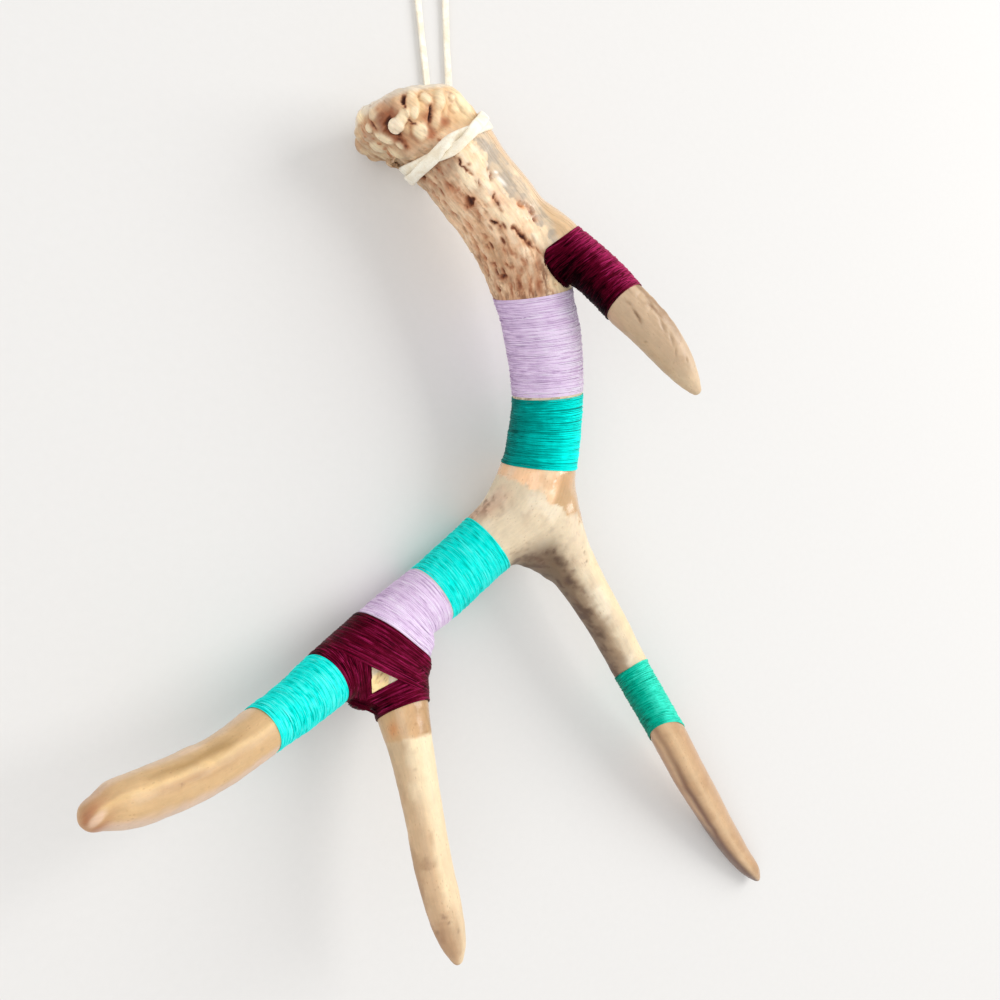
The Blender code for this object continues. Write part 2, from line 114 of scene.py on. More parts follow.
BURR_PROFILE = [(-13, 8), (-12, 14), (-10, 19), (-6.5, 22.3), (-2, 23.6), (2, 22.6), (5.5, 20), (9, 18), (14, 16.5)]
LACE = [
    (-37.5, 138.8, 6.2), (-37.8, 143.6, 3.6), (-38.1, 149, 2.0), (-38.3, 156, 1.6), (-38.5, 166, 1.6),
    (-39.2, 178, 1.6), (-41.2, 195, 1.6), (-43.4, 213, 1.6), (-44.8, 224, 1.6), (-44.3, 231.5, 1.6),
    (-38.2, 235.6, 1.6), (-31.9, 232, 1.6), (-30.7, 224.5, 1.6), (-30.2, 213, 1.6), (-29.6, 196, 1.6),
    (-28.7, 180, 1.6), (-28.9, 168, 1.6), (-29.9, 156, 1.6), (-31.0, 148, 2.2), (-31.9, 142, 4.0),
    (-32.6, 136.6, 7.2),
]
WEBS = [  # rounded webs in the angles of the forks
    ((4.5, -22.0, 21), (10, 8, 9)), ((14.9, -28.5, 21), (7, 7, 7)), ((9.6, -25.4, 21), (7, 7, 7)), ((-75.5, -74.5, 24), (7, 7, 7)), ((-49.8, -57.0, 20.5), (5.6, 7, 8)), ((-51.7, -65.5, 21.0), (5.3, 8, 8)),
]
BITE = 0.5  # how far the bone is drawn in under a binding
SPANS = {  # bindings along each branch
    "beam": [(91.5, 130.8), (131.2, 160.5), (202, 235.6), (236, 258), (258.4, 293.1), (293.5, 329)],
    "brow": [(21.5, 56)],
    "back": [(94, 134)],
    "fore": [(-5, 27)],
}


# ------------------------------------------------------------------ numbers
def unit(v):
    return v / np.maximum(np.linalg.norm(v, axis=-1, keepdims=True), 1e-12)


def ramp(x, a, b):
    """0 below a, 1 above b, smooth between them; a may be the larger."""
    t = np.clip((x - a) / (b - a), 0, 1)
    return t * t * (3 - 2 * t)


def srgb(r, g, b):
    c = np.array([r, g, b]) / 255
    return np.where(c <= 0.04045, c / 12.92, ((c + 0.055) / 1.055) ** 2.4)


def hashed(ix, iy, iz, seed):
    m = np.int64(0xFFFFFFFF)
    h = (ix * 374761393 + iy * 668265263 + iz * 1440662683 + seed * 1274126177) & m
    h = ((h ^ (h >> 13)) * 1274126177) & m
    h = ((h ^ (h >> 15)) * 668265263) & m
    return ((h ^ (h >> 16)) & 0xFFFF) / 65535.0


def noise(p, seed):
    """Smooth random values from -1 to 1 at points whose cells are 1 wide."""
    p = np.asarray(p, float)
    cell = np.floor(p).astype(np.int64)
    f = p - cell
    f = f * f * f * (f * (f * 6 - 15) + 10)
    total = 0
    for dx in (0, 1):
        wx = f[:, 0] if dx else 1 - f[:, 0]
        for dy in (0, 1):
            wy = f[:, 1] if dy else 1 - f[:, 1]
            for dz in (0, 1):
                wz = f[:, 2] if dz else 1 - f[:, 2]
                total = total + wx * wy * wz * hashed(cell[:, 0] + dx, cell[:, 1] + dy, cell[:, 2] + dz, seed)
    return 2 * total - 1


def layered(p, seed, octaves=4, gain=0.5):
    total, size, scale = 0, 1.0, 0
    for k in range(octaves):
        total = total + size * noise(p * 2.03**k + 17.3 * k, seed + k)
        scale += size
        size *= gain
    return total / scale * 1.5


def cells(p, seed):
    """Distance to the nearest of a set of scattered points, one in each cell."""
    base = np.floor(p).astype(np.int64)
    best = np.full(len(p), 9.0)
    for dx in (-1, 0, 1):
        for dy in (-1, 0, 1):
            for dz in (-1, 0, 1):
                c = base + (dx, dy, dz)
                spot = c + np.stack([hashed(c[:, 0], c[:, 1], c[:, 2], seed + k) for k in range(3)], 1)
                best = np.minimum(best, np.linalg.norm(p - spot, axis=1))
    return best


def wander(x, seed):
    """Smooth random values from -1 to 1 along a line."""
    x = np.asarray(x, float)
    return noise(np.stack([x, np.full_like(x, 0.37), np.full_like(x, 0.61)], 1), seed)


def route(rows):
    """A smooth line through the rows: a function of the distance along it, and its length."""
    rows = np.array(rows, float)
    at = np.concatenate([[0], np.cumsum(np.linalg.norm(np.diff(rows[:, :3], axis=0), axis=1))])
    slope = np.empty_like(rows)
    slope[0] = (rows[1] - rows[0]) / (at[1] - at[0])
    slope[-1] = (rows[-1] - rows[-2]) / (at[-1] - at[-2])
    before, after = (at[1:-1] - at[:-2])[:, None], (at[2:] - at[1:-1])[:, None]
    slope[1:-1] = (
        (rows[1:-1] - rows[:-2]) / before * after + (rows[2:] - rows[1:-1]) / after * before
    ) / (before + after)

    def sample(s):
        s = np.clip(np.atleast_1d(np.asarray(s, float)), 0, at[-1])
        i = np.clip(np.searchsorted(at, s, side="right") - 1, 0, len(at) - 2)
        h = (at[i + 1] - at[i])[:, None]
        u = (s - at[i])[:, None] / h
        return (
            (2 * u**3 - 3 * u**2 + 1) * rows[i]
            + (u**3 - 2 * u**2 + u) * h * slope[i]
            + (3 * u**2 - 2 * u**3) * rows[i + 1]
            + (u**3 - u**2) * h * slope[i + 1]
        )

    return sample, at[-1]


def bound(branch, s):
    best = np.zeros_like(s)
    for a, b in SPANS[branch]:
        best = np.maximum(best, np.clip(np.minimum((s - a) / 2 + 0.5, (b - s) / 2 + 0.5), 0, 1))
    return best * BITE


class Line:
    """A branch: its centre line, thickness, and the directions up and across at each millimetre."""

    def __init__(self, name, rows):
        rows = [(x + SHIFT[0], y + SHIFT[1], z, r) for x, y, z, r in rows]
        sample, self.length = route(rows)
        self.name = name
        self.s = np.append(np.arange(0, self.length, 1.0), self.length)
        got = sample(self.s)
        self.p, self.r = got[:, :3], got[:, 3]
        self.t = unit(np.gradient(self.p, self.s, axis=0))
        self.e1 = unit(np.array([0, 0, 1.0]) - self.t * self.t[:, 2:3])
        self.e2 = np.cross(self.t, self.e1)

    def at(self, s):
        """Centre, thickness, up and across at these distances."""
        pick = [np.interp(s, self.s, col) for arr in (self.p, self.e1, self.e2, self.t) for col in arr.T]
        p, e1, e2, t = (np.stack(pick[k : k + 3], -1) for k in (0, 3, 6, 9))
        return p, np.interp(s, self.s, self.r), unit(e1), unit(e2), unit(t)

    def where(self, v):
        """For each point: distance along, angle round, distance out, and the branch's thickness there."""
        near = np.empty(len(v), int)
        for k in range(0, len(v), 20000):
            part = v[k : k + 20000]
            near[k : k + 20000] = (np.sum(self.p**2, 1)[None] - 2 * part @ self.p.T).argmin(1)
        away = v - self.p[near]
        along = np.sum(away * self.t[near], 1)
        s = self.s[near] + along
        out = away - along[:, None] * self.t[near]
        angle = np.arctan2(np.sum(out * self.e2[near], 1), np.sum(out * self.e1[near], 1))
        return s, angle, np.linalg.norm(out, axis=1), self.r[near]


LINES = {name: Line(name, rows) for name, rows in (("beam", BEAM), ("back", BACK), ("fore", FORE), ("brow", BROW))}


def cut(branch, s, ends=None, bulge=0.0):
    """The plane that a turn of thread lies in: square to the branch at s, or through two places in the picture.

    A bulge tips the plane, so that its near side lies that many pixels further along the branch.
    """
    c, r, _, _, t = LINES[branch].at(s)
    if ends is None:
        return c, t
    (x1, y1), (x2, y2) = ends
    normal = unit(np.cross(sight(x1, y1), sight(x2, y2)))
    normal = normal if normal @ t > 0 else -normal
    origin = c - normal * ((c - EYE) @ normal)
    look = unit(c - EYE)
    size = (c - EYE) @ AHEAD * math.tan(FIELD / 2) / 500
    return origin, unit(normal + look * bulge * size / r)


CUTS = {  # the two end planes of each binding
    "thread_beam_lavender": ("beam", 91.5, 130.5, cut("beam", 91.5, ((492.5, 298.0), (568, 287.5)), 5), cut("beam", 130.5, ((512, 394.5), (582, 391.0)), 5)),
    "thread_beam_teal": ("beam", 131.3, 160.5, cut("beam", 131.3, ((512, 396.8), (582, 393.3)), 5), cut("beam", 160.5, ((502, 461.5), (578, 469.5)), 4)),
    "thread_branch_turquoise": ("beam", 202, 235.6, cut("beam", 202), cut("beam", 235.6)),
    "thread_branch_lavender": ("beam", 236, 258, cut("beam", 236), cut("beam", 260.5, ((356.6, 614.3), (429.8, 657.3)), -7)),
    "thread_fork_far": ("beam", 295.2, 295.2, cut("beam", 295.2), cut("beam", 295.2)),
    "thread_fork_near": ("beam", 260.5, 260.5, cut("beam", 260.5, ((356.3, 614.9), (429.6, 657.9)), -7), None),
    "thread_fork_tine": ("fore", 27.0, 27.0, cut("fore", 27.0, ((378.5, 720.5), (430, 700.5)), -4.5), None),
    "thread_tip_turquoise": ("beam", 295.4, 329, cut("beam", 295.4), cut("beam", 329)),
    "thread_tine_teal": ("back", 94, 134, cut("back", 94, ((614.5, 678.6), (647.5, 659.0)), -1), cut("back", 134, ((650, 738.6), (684, 724.0)), -5)),
    "thread_brow_maroon": ("brow", 21.5, 56, cut("brow", 21.5, ((545, 249.5), (577, 226.5)), 0), cut("brow", 56, ((608, 318.5), (641, 285.0)), -7)),
}


# ------------------------------------------------------------------ meshes
def new_object(name, verts, faces, smooth=True):
    """A mesh object from points in millimetres and one or more arrays of faces."""
    faces = [np.asarray(f, np.int32) for f in (faces if isinstance(faces, list) else [faces]) if len(f)]
    mesh = bpy.data.meshes.new(name)
    mesh.vertices.add(len(verts))
    mesh.vertices.foreach_set("co", (np.asarray(verts) * MM).astype(np.float32).ravel())
    loops = np.concatenate([f.ravel() for f in faces])
    sizes = np.concatenate([np.full(len(f), f.shape[1], np.int32) for f in faces])
    mesh.loops.add(len(loops))
    mesh.loops.foreach_set("vertex_index", loops)
    mesh.polygons.add(len(sizes))
    mesh.polygons.foreach_set("loop_start", np.concatenate([[0], np.cumsum(sizes)[:-1]]).astype(np.int32))
    mesh.update(calc_edges=True)
    mesh.validate()
    if smooth:
        mesh.shade_smooth()
    obj = bpy.data.objects.new(name, mesh)
    bpy.context.scene.collection.objects.link(obj)
    return obj


def modified(obj, kind, **settings):
    """The object's mesh after a modifier, in place of its own."""
    mod = obj.modifiers.new(kind.lower(), kind)
    for key, value in settings.items():
        setattr(mod, key, value)
    bpy.context.view_layer.update()
    mesh = bpy.data.meshes.new_from_object(obj.evaluated_get(bpy.context.evaluated_depsgraph_get()))
    obj.modifiers.remove(mod)
    old = obj.data
    obj.data = mesh
    bpy.data.meshes.remove(old)
    return obj


def arrays(mesh):
    """Points in millimetres, quads and edges of a mesh that is all quads."""
    v = np.empty(len(mesh.vertices) * 3, np.float32)
    mesh.vertices.foreach_get("co", v)
    q = np.empty(len(mesh.loops), np.int32)
    mesh.loops.foreach_get("vertex_index", q)
    e = np.empty(len(mesh.edges) * 2, np.int32)
    mesh.edges.foreach_get("vertices", e)
    return v.reshape(-1, 3).astype(float) / MM, q.reshape(-1, 4), e.reshape(-1, 2)


def normals_of(v, quads):
    n = np.cross(v[quads[:, 2]] - v[quads[:, 0]], v[quads[:, 3]] - v[quads[:, 1]])
    total = np.stack([np.bincount(quads.ravel(), np.repeat(n[:, k], 4), len(v)) for k in range(3)], 1)
    return unit(total)


def mean_of_neighbours(v, edges, degree):
    n = len(v)
    return (
        np.stack(
            [np.bincount(edges[:, 0], v[edges[:, 1], k], n) + np.bincount(edges[:, 1], v[edges[:, 0], k], n) for k in range(v.shape[1])],
            1,
        )
        / degree
    )


def lump(centre, size, across=20, down=14):
    """A closed ball or egg."""
    size = np.broadcast_to(size, 3)
    a = 2 * np.pi * np.arange(across) / across
    b = np.pi * np.arange(1, down) / down
    grid = np.stack(
        [np.sin(b)[:, None] * np.cos(a), np.sin(b)[:, None] * np.sin(a), np.repeat(np.cos(b)[:, None], across, 1)], -1
    ).reshape(-1, 3)
    verts = np.concatenate([grid, [[0, 0, 1.0], [0, 0, -1.0]]]) * size + centre
    k, j = np.arange(across), (np.arange(across) + 1) % across
    quads = np.concatenate(
        [np.stack([r * across + k, (r + 1) * across + k, (r + 1) * across + j, r * across + j], 1) for r in range(down - 2)]
    )
    top, bottom = len(grid), len(grid) + 1
    last = (down - 2) * across
    tris = np.concatenate([np.stack([np.full(across, top), k, j], 1), np.stack([np.full(across, bottom), last + j, last + k], 1)])
    return verts, quads, tris


def loft(points, e1, e2, radii, sides=28):
    """A closed tube: rings square to the line, with flat ends."""
    a = 2 * np.pi * np.arange(sides) / sides
    rings = points[:, None] + radii[:, None, None] * (np.cos(a)[None, :, None] * e1[:, None] + np.sin(a)[None, :, None] * e2[:, None])
    n = len(points)
    verts = np.concatenate([rings.reshape(-1, 3), points[[0, -1]]])
    k, j = np.arange(sides), (np.arange(sides) + 1) % sides
    quads = np.concatenate([np.stack([i * sides + k, i * sides + j, (i + 1) * sides + j, (i + 1) * sides + k], 1) for i in range(n - 1)])
    tris = np.concatenate(
        [np.stack([np.full(sides, n * sides), j, k], 1), np.stack([np.full(sides, n * sides + 1), (n - 1) * sides + k, (n - 1) * sides + j], 1)]
    )
    return verts, quads, tris


def gathered(parts):
    """Several (points, quads, tris) as one."""
    verts, quads, tris, base = [], [], [], 0
    for v, q, t in parts:
        verts.append(v)
        quads.append(q + base)
        tris.append(t + base)
        base += len(v)
    return np.concatenate(verts), np.concatenate(quads), np.concatenate(tris)


# ------------------------------------------------------------------ the bone, plain and rounded
parts = []
for name, line in LINES.items():
    parts.append(loft(line.p, line.e1, line.e2, line.r - bound(name, line.s)))
    parts.append(lump(line.p[-1], line.r[-1]))
for centre, size in WEBS:
    parts.append(lump(np.array(centre) + SHIFT, size))
profile = route([(d, r, 0) for d, r in BURR_PROFILE])[0](np.linspace(0, 60, 61))
profile = profile[np.concatenate([[True], np.diff(profile[:, 0]) > 1e-4])]
burr_e1 = unit(np.array([0, 0, 1.0]) - BURR_DIR * BURR_DIR[2])
burr_e2 = np.cross(BURR_DIR, burr_e1)
axis = BURR_AT + SHIFT + profile[:, :1] * BURR_DIR
parts.append(loft(axis, np.repeat(burr_e1[None], len(axis), 0), np.repeat(burr_e2[None], len(axis), 0), profile[:, 1], 40))
verts, quads, tris = gathered(parts)
whole = new_object("antler", verts, [quads, tris])
modified(whole, "REMESH", mode="VOXEL", voxel_size=1.0 * MM, adaptivity=0.0)
V, Q, E = arrays(whole.data)
bpy.data.objects.remove(whole)
degree = np.bincount(E.ravel(), minlength=len(V))[:, None]
for _ in range(4):
    V = V + 0.5 * (mean_of_neighbours(V, E, degree) - V)
FORKS = [(np.array(c) + SHIFT, reach) for c, reach in (((-4, 112, 42), 20), ((8, -12, 24), 30), ((-68, -66, 22), 26))]
near_fork = np.max([ramp(np.linalg.norm(V - c, axis=1), reach, reach * 0.55) for c, reach in FORKS], axis=0)
for n in range(90):
    if n % 6 == 0:
        N = normals_of(V, Q)
    fill = np.sum((mean_of_neighbours(V, E, degree) - V) * N, 1)
    V = V + (np.maximum(fill, 0) * near_fork * 0.9)[:, None] * N
# the outline of the burr is fuller at its upper left and cut in at the neck below it, and the point of the back tine is blunt
N = normals_of(V, Q)
seen_x, seen_y = pictured(V)
trim = 5.6 * np.exp(-(((seen_x - 393) / 12) ** 2) - ((seen_y - 174) / 11) ** 2) - 2.3 * np.exp(-(((seen_x - 358) / 13) ** 2) - ((seen_y - 110) / 14) ** 2)
trim = trim * ramp(np.linalg.norm(V - BURR_AT - SHIFT, axis=1), 50, 40)
trim -= 1.3 * np.exp(-(((seen_x - 757) / 9) ** 2) - ((seen_y - 867) / 13) ** 2) * ramp(N @ RIGHT, 0, 0.5)
V = V - trim[:, None] * N
for _ in range(3):
    V = V + 0.5 * (mean_of_neighbours(V, E, degree) - V)
print("bone", len(V), len(Q))

plain = BVHTree.FromPolygons(V.tolist(), Q.tolist())


def on_bone(px, py):
    """Where the sight line through a place in the picture meets the bone, and the bone's normal there."""
    hit, normal, _, _ = plain.ray_cast(Vector(EYE), Vector(sight(px, py)))
    if hit is None:
        return None, None
    return np.array(hit), np.array(normal)


# ------------------------------------------------------------------ splitting the bone under its bindings
centres = V[Q].mean(1)
away = {name: line.where(centres) for name, line in LINES.items()}
share = np.stack([away[n][2] / np.maximum(away[n][3], 1) + 5 * (away[n][0] > LINES[n].length + 3) for n in LINES], 1)
# past a branch's end the distance out is no measure, so the true distance to the line counts there
for k, (n, line) in enumerate(LINES.items()):
    s = away[n][0]
    over = np.maximum(np.maximum(-s, s - line.length), 0)
    share[:, k] = np.hypot(away[n][2], over) / np.maximum(away[n][3], 1)
names = list(LINES)
owner = share.argmin(1)
on = {n: owner == k for k, n in enumerate(names)}
s_beam = away["beam"][0]
piece_of = np.full(len(Q), 2)
piece_of[on["beam"] & (s_beam < 95)] = 0
piece_of[on["brow"]] = np.where(away["brow"][0][on["brow"]] > 41, 1, 0)
piece_of[on["beam"] & (s_beam >= 212) & (s_beam < 303)] = 3
piece_of[on["fore"]] = np.where(away["fore"][0][on["fore"]] > 23, 4, 3)
piece_of[on["beam"] & (s_beam >= 303)] = 5
piece_of[on["back"] & (away["back"][0] > 114)] = 6


def piece_arrays(number):
    """One piece of the bone; the faces of the two rough ones are cut into four."""
    q = Q[piece_of == number]
    used, inverse = np.unique(q.ravel(), return_inverse=True)
    obj = new_object("piece", V[used], inverse.reshape(-1, 4))
    if number < 2:
        modified(obj, "SUBSURF", levels=1, render_levels=1)
    v, q, _ = arrays(obj.data)
    mesh = obj.data
    bpy.data.objects.remove(obj)
    bpy.data.meshes.remove(mesh)
    return v, q


def wrapped(v):
    """1 where a binding covers the bone, 0 where it is bare."""
    best = np.zeros(len(v))
    found = {name: line.where(v) for name, line in LINES.items()}
    for name, (s, _, out, r) in found.items():
        best = np.maximum(best, bound(name, s) / BITE * ramp(out / np.maximum(r, 1), 1.5, 1.3))
    for branch, s0, s1, first, last in CUTS.values():
        if last is None or s0 == s1:
            continue
        s, _, out, r = found[branch]
        inner = np.minimum((v - first[0]) @ first[1], (last[0] - v) @ last[1])
        best = np.maximum(best, np.clip(inner / 1.5 + 0.5, 0, 1) * (out / np.maximum(r, 1) < 1.4) * (s > s0 - 12) * (s < s1 + 12))
    return best


# ------------------------------------------------------------------ shaping and colouring the bone
def stamp(v, px, py, length, width, angle, kind):
    """How strongly a mark at a place in the picture acts on each point: 0 to 1."""
    c, n = on_bone(px, py)
    if c is None:
        return np.zeros(len(v))
    a = math.cos(math.radians(angle)) * RIGHT + math.sin(math.radians(angle)) * UP
    a = unit(a - n * (a @ n))
    b = np.cross(n, a)
    d = v - c
    x, y, z = d @ a / length, d @ b / width, d @ n
    rho2 = x * x + y * y
    side = np.abs(z) < max(length, width) + 2
    if kind == "dome":
        return np.sqrt(np.clip(1 - rho2, 0, 1)) * side
    if kind == "swell":
        return np.exp(-1.5 * rho2**1.5) * side
    if kind == "hole":
        return np.clip(1 - rho2**2, 0, 1) * side
    # ring: a dark rim on the side away from the light, painted shade round a swelling
    if kind == "ring":
        below = -(d @ (0.75 * RIGHT + 0.66 * UP)) / np.maximum(np.linalg.norm(d, axis=1), 1e-6)
        return np.exp(-(((np.sqrt(rho2) - 1.08) / 0.22) ** 2)) * ramp(below, -0.35, 0.55) * side
    return np.exp(-2.0 * rho2) * side


def mixed(colour, other, amount):
    amount = np.clip(amount, 0, 1)[:, None]
    return colour * (1 - amount) + np.asarray(other) * amount


# swellings and dents of the burr and the upper beam: place in the picture, half length, half width, angle, height, paleness
KNOBS = [  # the first four are round beads, the rest soft swellings
    (396, 126, 3.3, 3.2, 0, 2.6, 1.0), (400.5, 120.5, 3.4, 2.5, 52, 2.1, 0.9), (415, 112.5, 2.6, 1.8, 100, 1.2, 1.0), (368, 128.8, 2.1, 1.9, 95, 1.2, 0.9),
    (404, 115.5, 4.2, 2.6, 55, 1.4, 0.75), (413, 103, 7.0, 3.0, 97, 1.3, 0.35), (411, 93, 2.8, 2.0, 100, 0.7, 0.7),
    (427, 95, 3.6, 2.6, 110, 1.1, 0.8), (424, 106, 4.0, 2.6, 95, 0.6, 0.0), (372, 113, 3.0, 2.4, 80, 1.0, 0.6),
    (384, 139, 4.6, 2.3, 318, 1.5, 0.9), (399, 146, 2.2, 1.6, 320, 1.0, 0.8), (421, 131, 3.8, 3.4, 310, 1.4, 0.95),
    (442, 99, 6.0, 2.6, 85, 1.6, 0.6), (437, 119, 4.6, 2.2, 78, 1.3, 0.35), (462, 102, 5.5, 3.6, 325, 1.5, 0.6),
    (454, 96, 2.4, 1.6, 40, 0.8, 0.7), (466, 97, 2.2, 1.4, 320, 0.8, 0.7), (471, 104, 2.2, 1.6, 320, 0.8, 0.5),
    (456, 108, 2.4, 1.5, 20, 0.7, 0.4), (374, 152, 4.4, 3.4, 320, 1.2, 0.3), (363, 142, 3.4, 2.6, 300, 0.9, 0.2),
    (392, 155, 3.4, 2.4, 340, 0.9, 0.3), (358, 117, 3.0, 2.6, 70, 0.7, 0.5), (487, 199, 1.5, 1.3, 0, 0.7, 0.8),
    (467, 177, 5.0, 2.0, 312, 0.7, 0.7), (500, 215, 5.0, 1.8, 318, 0.6, 0.5),
]
DENTS = [  # place, half length, half width, angle, depth, darkness
    (387.5, 125, 4.8, 2.4, 82, 3.2, 1.4), (393.5, 134, 3.6, 1.5, 338, 2.6, 1.4), (387, 113, 5.6, 4.2, 75, 2.2, 0.62),
    (382.5, 121, 4.0, 2.6, 70, 1.2, 0.55), (402.3, 98.0, 3.0, 1.15, 274, 2.4, 1.8), (405.0, 108, 3.4, 0.6, 288, 1.1, 1.15), (407.6, 115.5, 2.2, 0.5, 285, 0.8, 1.1),
    (410, 121, 2.0, 0.6, 310, 0.9, 1.25), (414.0, 124.4, 1.8, 0.6, 0, 0.8, 1.25), (431.6, 114, 4.4, 1.0, 278, 2.0, 1.5),
    (428.5, 114, 3.2, 1.8, 280, 1.0, 0.55), (445.5, 121, 2.8, 1.7, 35, 1.0, 0.7), (399, 141, 3.8, 1.5, 335, 1.7, 1.05),
    (405.5, 146, 1.9, 1.2, 310, 1.2, 1.05), (431, 132, 3.0, 1.9, 320, 0.8, 0.55), (372.3, 126, 2.6, 1.0, 295, 1.4, 1.15),
    (361, 131, 2.0, 1.0, 95, 0.9, 0.8), (373.5, 101.5, 1.9, 0.6, 28, 0.5, 0.45), (452.5, 91.8, 2.4, 0.8, 350, 1.0, 0.5),
    (430, 89.8, 2.2, 0.4, 345, 0.4, 0.5), (467, 100.5, 2.2, 0.6, 318, 0.8, 0.5), (449, 113, 3.0, 0.8, 75, 0.9, 0.35),
    (376, 109, 1.8, 1.2, 80, 0.6, 0.5), (377.6, 146.3, 0.9, 0.7, 0, 0.7, 0.95), (387, 157.5, 1.3, 0.9, 340, 0.9, 1.05),
    (370.8, 141, 0.9, 0.7, 0, 0.6, 0.8), (362, 138, 1.0, 0.8, 0, 0.6, 0.8), (378, 164, 2.4, 1.2, 350, 0.9, 0.95),
    (390, 160, 1.3, 0.9, 0, 0.7, 0.8), (383, 153, 1.0, 0.8, 0, 0.5, 0.5), (389, 149, 2.2, 0.5, 340, 0.5, 0.5),
    # the upper beam
    (461, 140, 1.9, 1.2, 30, 0.9, 0.75), (456, 143, 1.4, 0.8, 340, 0.7, 0.5), (444, 155, 2.3, 1.5, 320, 0.8, 0.6), (440, 149, 1.6, 1.1, 0, 0.6, 0.5),
    (460, 162, 2.2, 0.8, 310, 1.2, 1.3), (464, 167, 2.0, 0.6, 315, 1.0, 1.1), (470, 173, 1.8, 0.6, 310, 0.8, 0.9),
    (469, 164.5, 0.9, 0.6, 0, 0.6, 0.8), (480, 183, 2.0, 0.7, 290, 0.8, 0.8), (490.5, 176, 1.9, 0.7, 265, 0.8, 0.8), (487, 170, 1.0, 0.6, 300, 0.5, 0.5),
    (470, 202, 2.5, 1.8, 290, 2.3, 1.3), (467, 207, 1.6, 1.2, 0, 1.0, 0.9), (494, 222, 1.9, 1.0, 330, 1.8, 1.35), (500, 226, 1.9, 0.7, 320, 1.2, 1.0),
    (494, 196, 1.5, 0.8, 290, 1.2, 1.1), (497, 203, 1.9, 0.9, 300, 1.2, 1.05), (500, 210, 1.6, 0.8, 300, 0.8, 0.6), (449, 186, 3.0, 1.3, 320, 1.2, 0.9),
    (456, 189, 2.2, 1.2, 0, 1.0, 0.7), (462, 194, 1.8, 1.0, 320, 0.7, 0.5), (520, 203, 2.1, 1.3, 350, 1.3, 0.75), (531, 211, 1.9, 1.1, 300, 1.3, 0.9),
    (535, 219, 1.3, 1.0, 300, 1.1, 1.0), (527, 207, 1.5, 0.9, 330, 0.7, 0.6), (516, 229, 2.2, 1.0, 325, 1.6, 1.1), (522, 236, 3.0, 1.1, 318, 2.0, 1.35),
    (531, 244, 2.6, 0.8, 312, 1.2, 1.1), (539, 251, 3.4, 0.5, 312, 0.8, 0.8), (469, 226, 2.8, 0.9, 310, 1.1, 0.8), (462, 240, 2.4, 0.8, 300, 1.0, 0.7),
    (484, 257, 2.0, 1.2, 290, 1.3, 0.9), (488, 248, 1.6, 0.9, 300, 1.0, 0.8), (494, 265, 1.6, 0.9, 20, 1.1, 0.9), (503, 277, 2.8, 1.3, 20, 1.5, 1.15),
    (507, 264, 1.4, 0.7, 300, 1.0, 1.0), (498, 289, 2.2, 1.3, 290, 1.5, 1.15), (519, 284, 5.2, 1.3, 275, 1.3, 0.95), (511, 290, 3.0, 0.9, 275, 1.0, 0.8),
    (531, 287, 4.2, 0.9, 272, 0.9, 0.85), (538, 262, 3.6, 1.1, 285, 1.0, 0.6), (540, 284, 4.8, 1.3, 275, 0.8, 0.75), (524, 262, 3.4, 0.8, 300, 0.8, 0.7),
    (512, 252, 3.0, 0.8, 310, 0.9, 0.7), (436, 196, 2.6, 1.1, 310, 1.1, 0.75), (422, 177, 1.9, 1.3, 10, 1.4, 1.3), (432, 184, 2.4, 1.0, 320, 0.9, 0.7),
    (437, 166, 2.4, 1.0, 320, 0.8, 0.55), (452, 213, 2.2, 0.8, 310, 0.9, 0.7), (478, 214, 2.6, 0.8, 300, 1.0, 0.6), (483, 236, 2.4, 0.8, 300, 1.0, 0.6),
    (505, 250, 2.6, 0.9, 300, 1.0, 0.7), (476, 248, 2.0, 1.0, 290, 1.1, 0.8), (473, 238, 2.2, 0.8, 310, 0.8, 0.6), (445, 203, 2.0, 0.8, 310, 0.7, 0.6),
    (488, 272, 2.0, 0.9, 300, 0.9, 0.8), (512, 268, 1.4, 0.9, 300, 0.8, 0.8), (521, 271, 1.6, 0.8, 280, 0.7, 0.7), (549, 288, 1.3, 0.8, 300, 0.6, 0.5), (556, 284, 0.9, 0.7, 0, 0.4, 0.5),
]
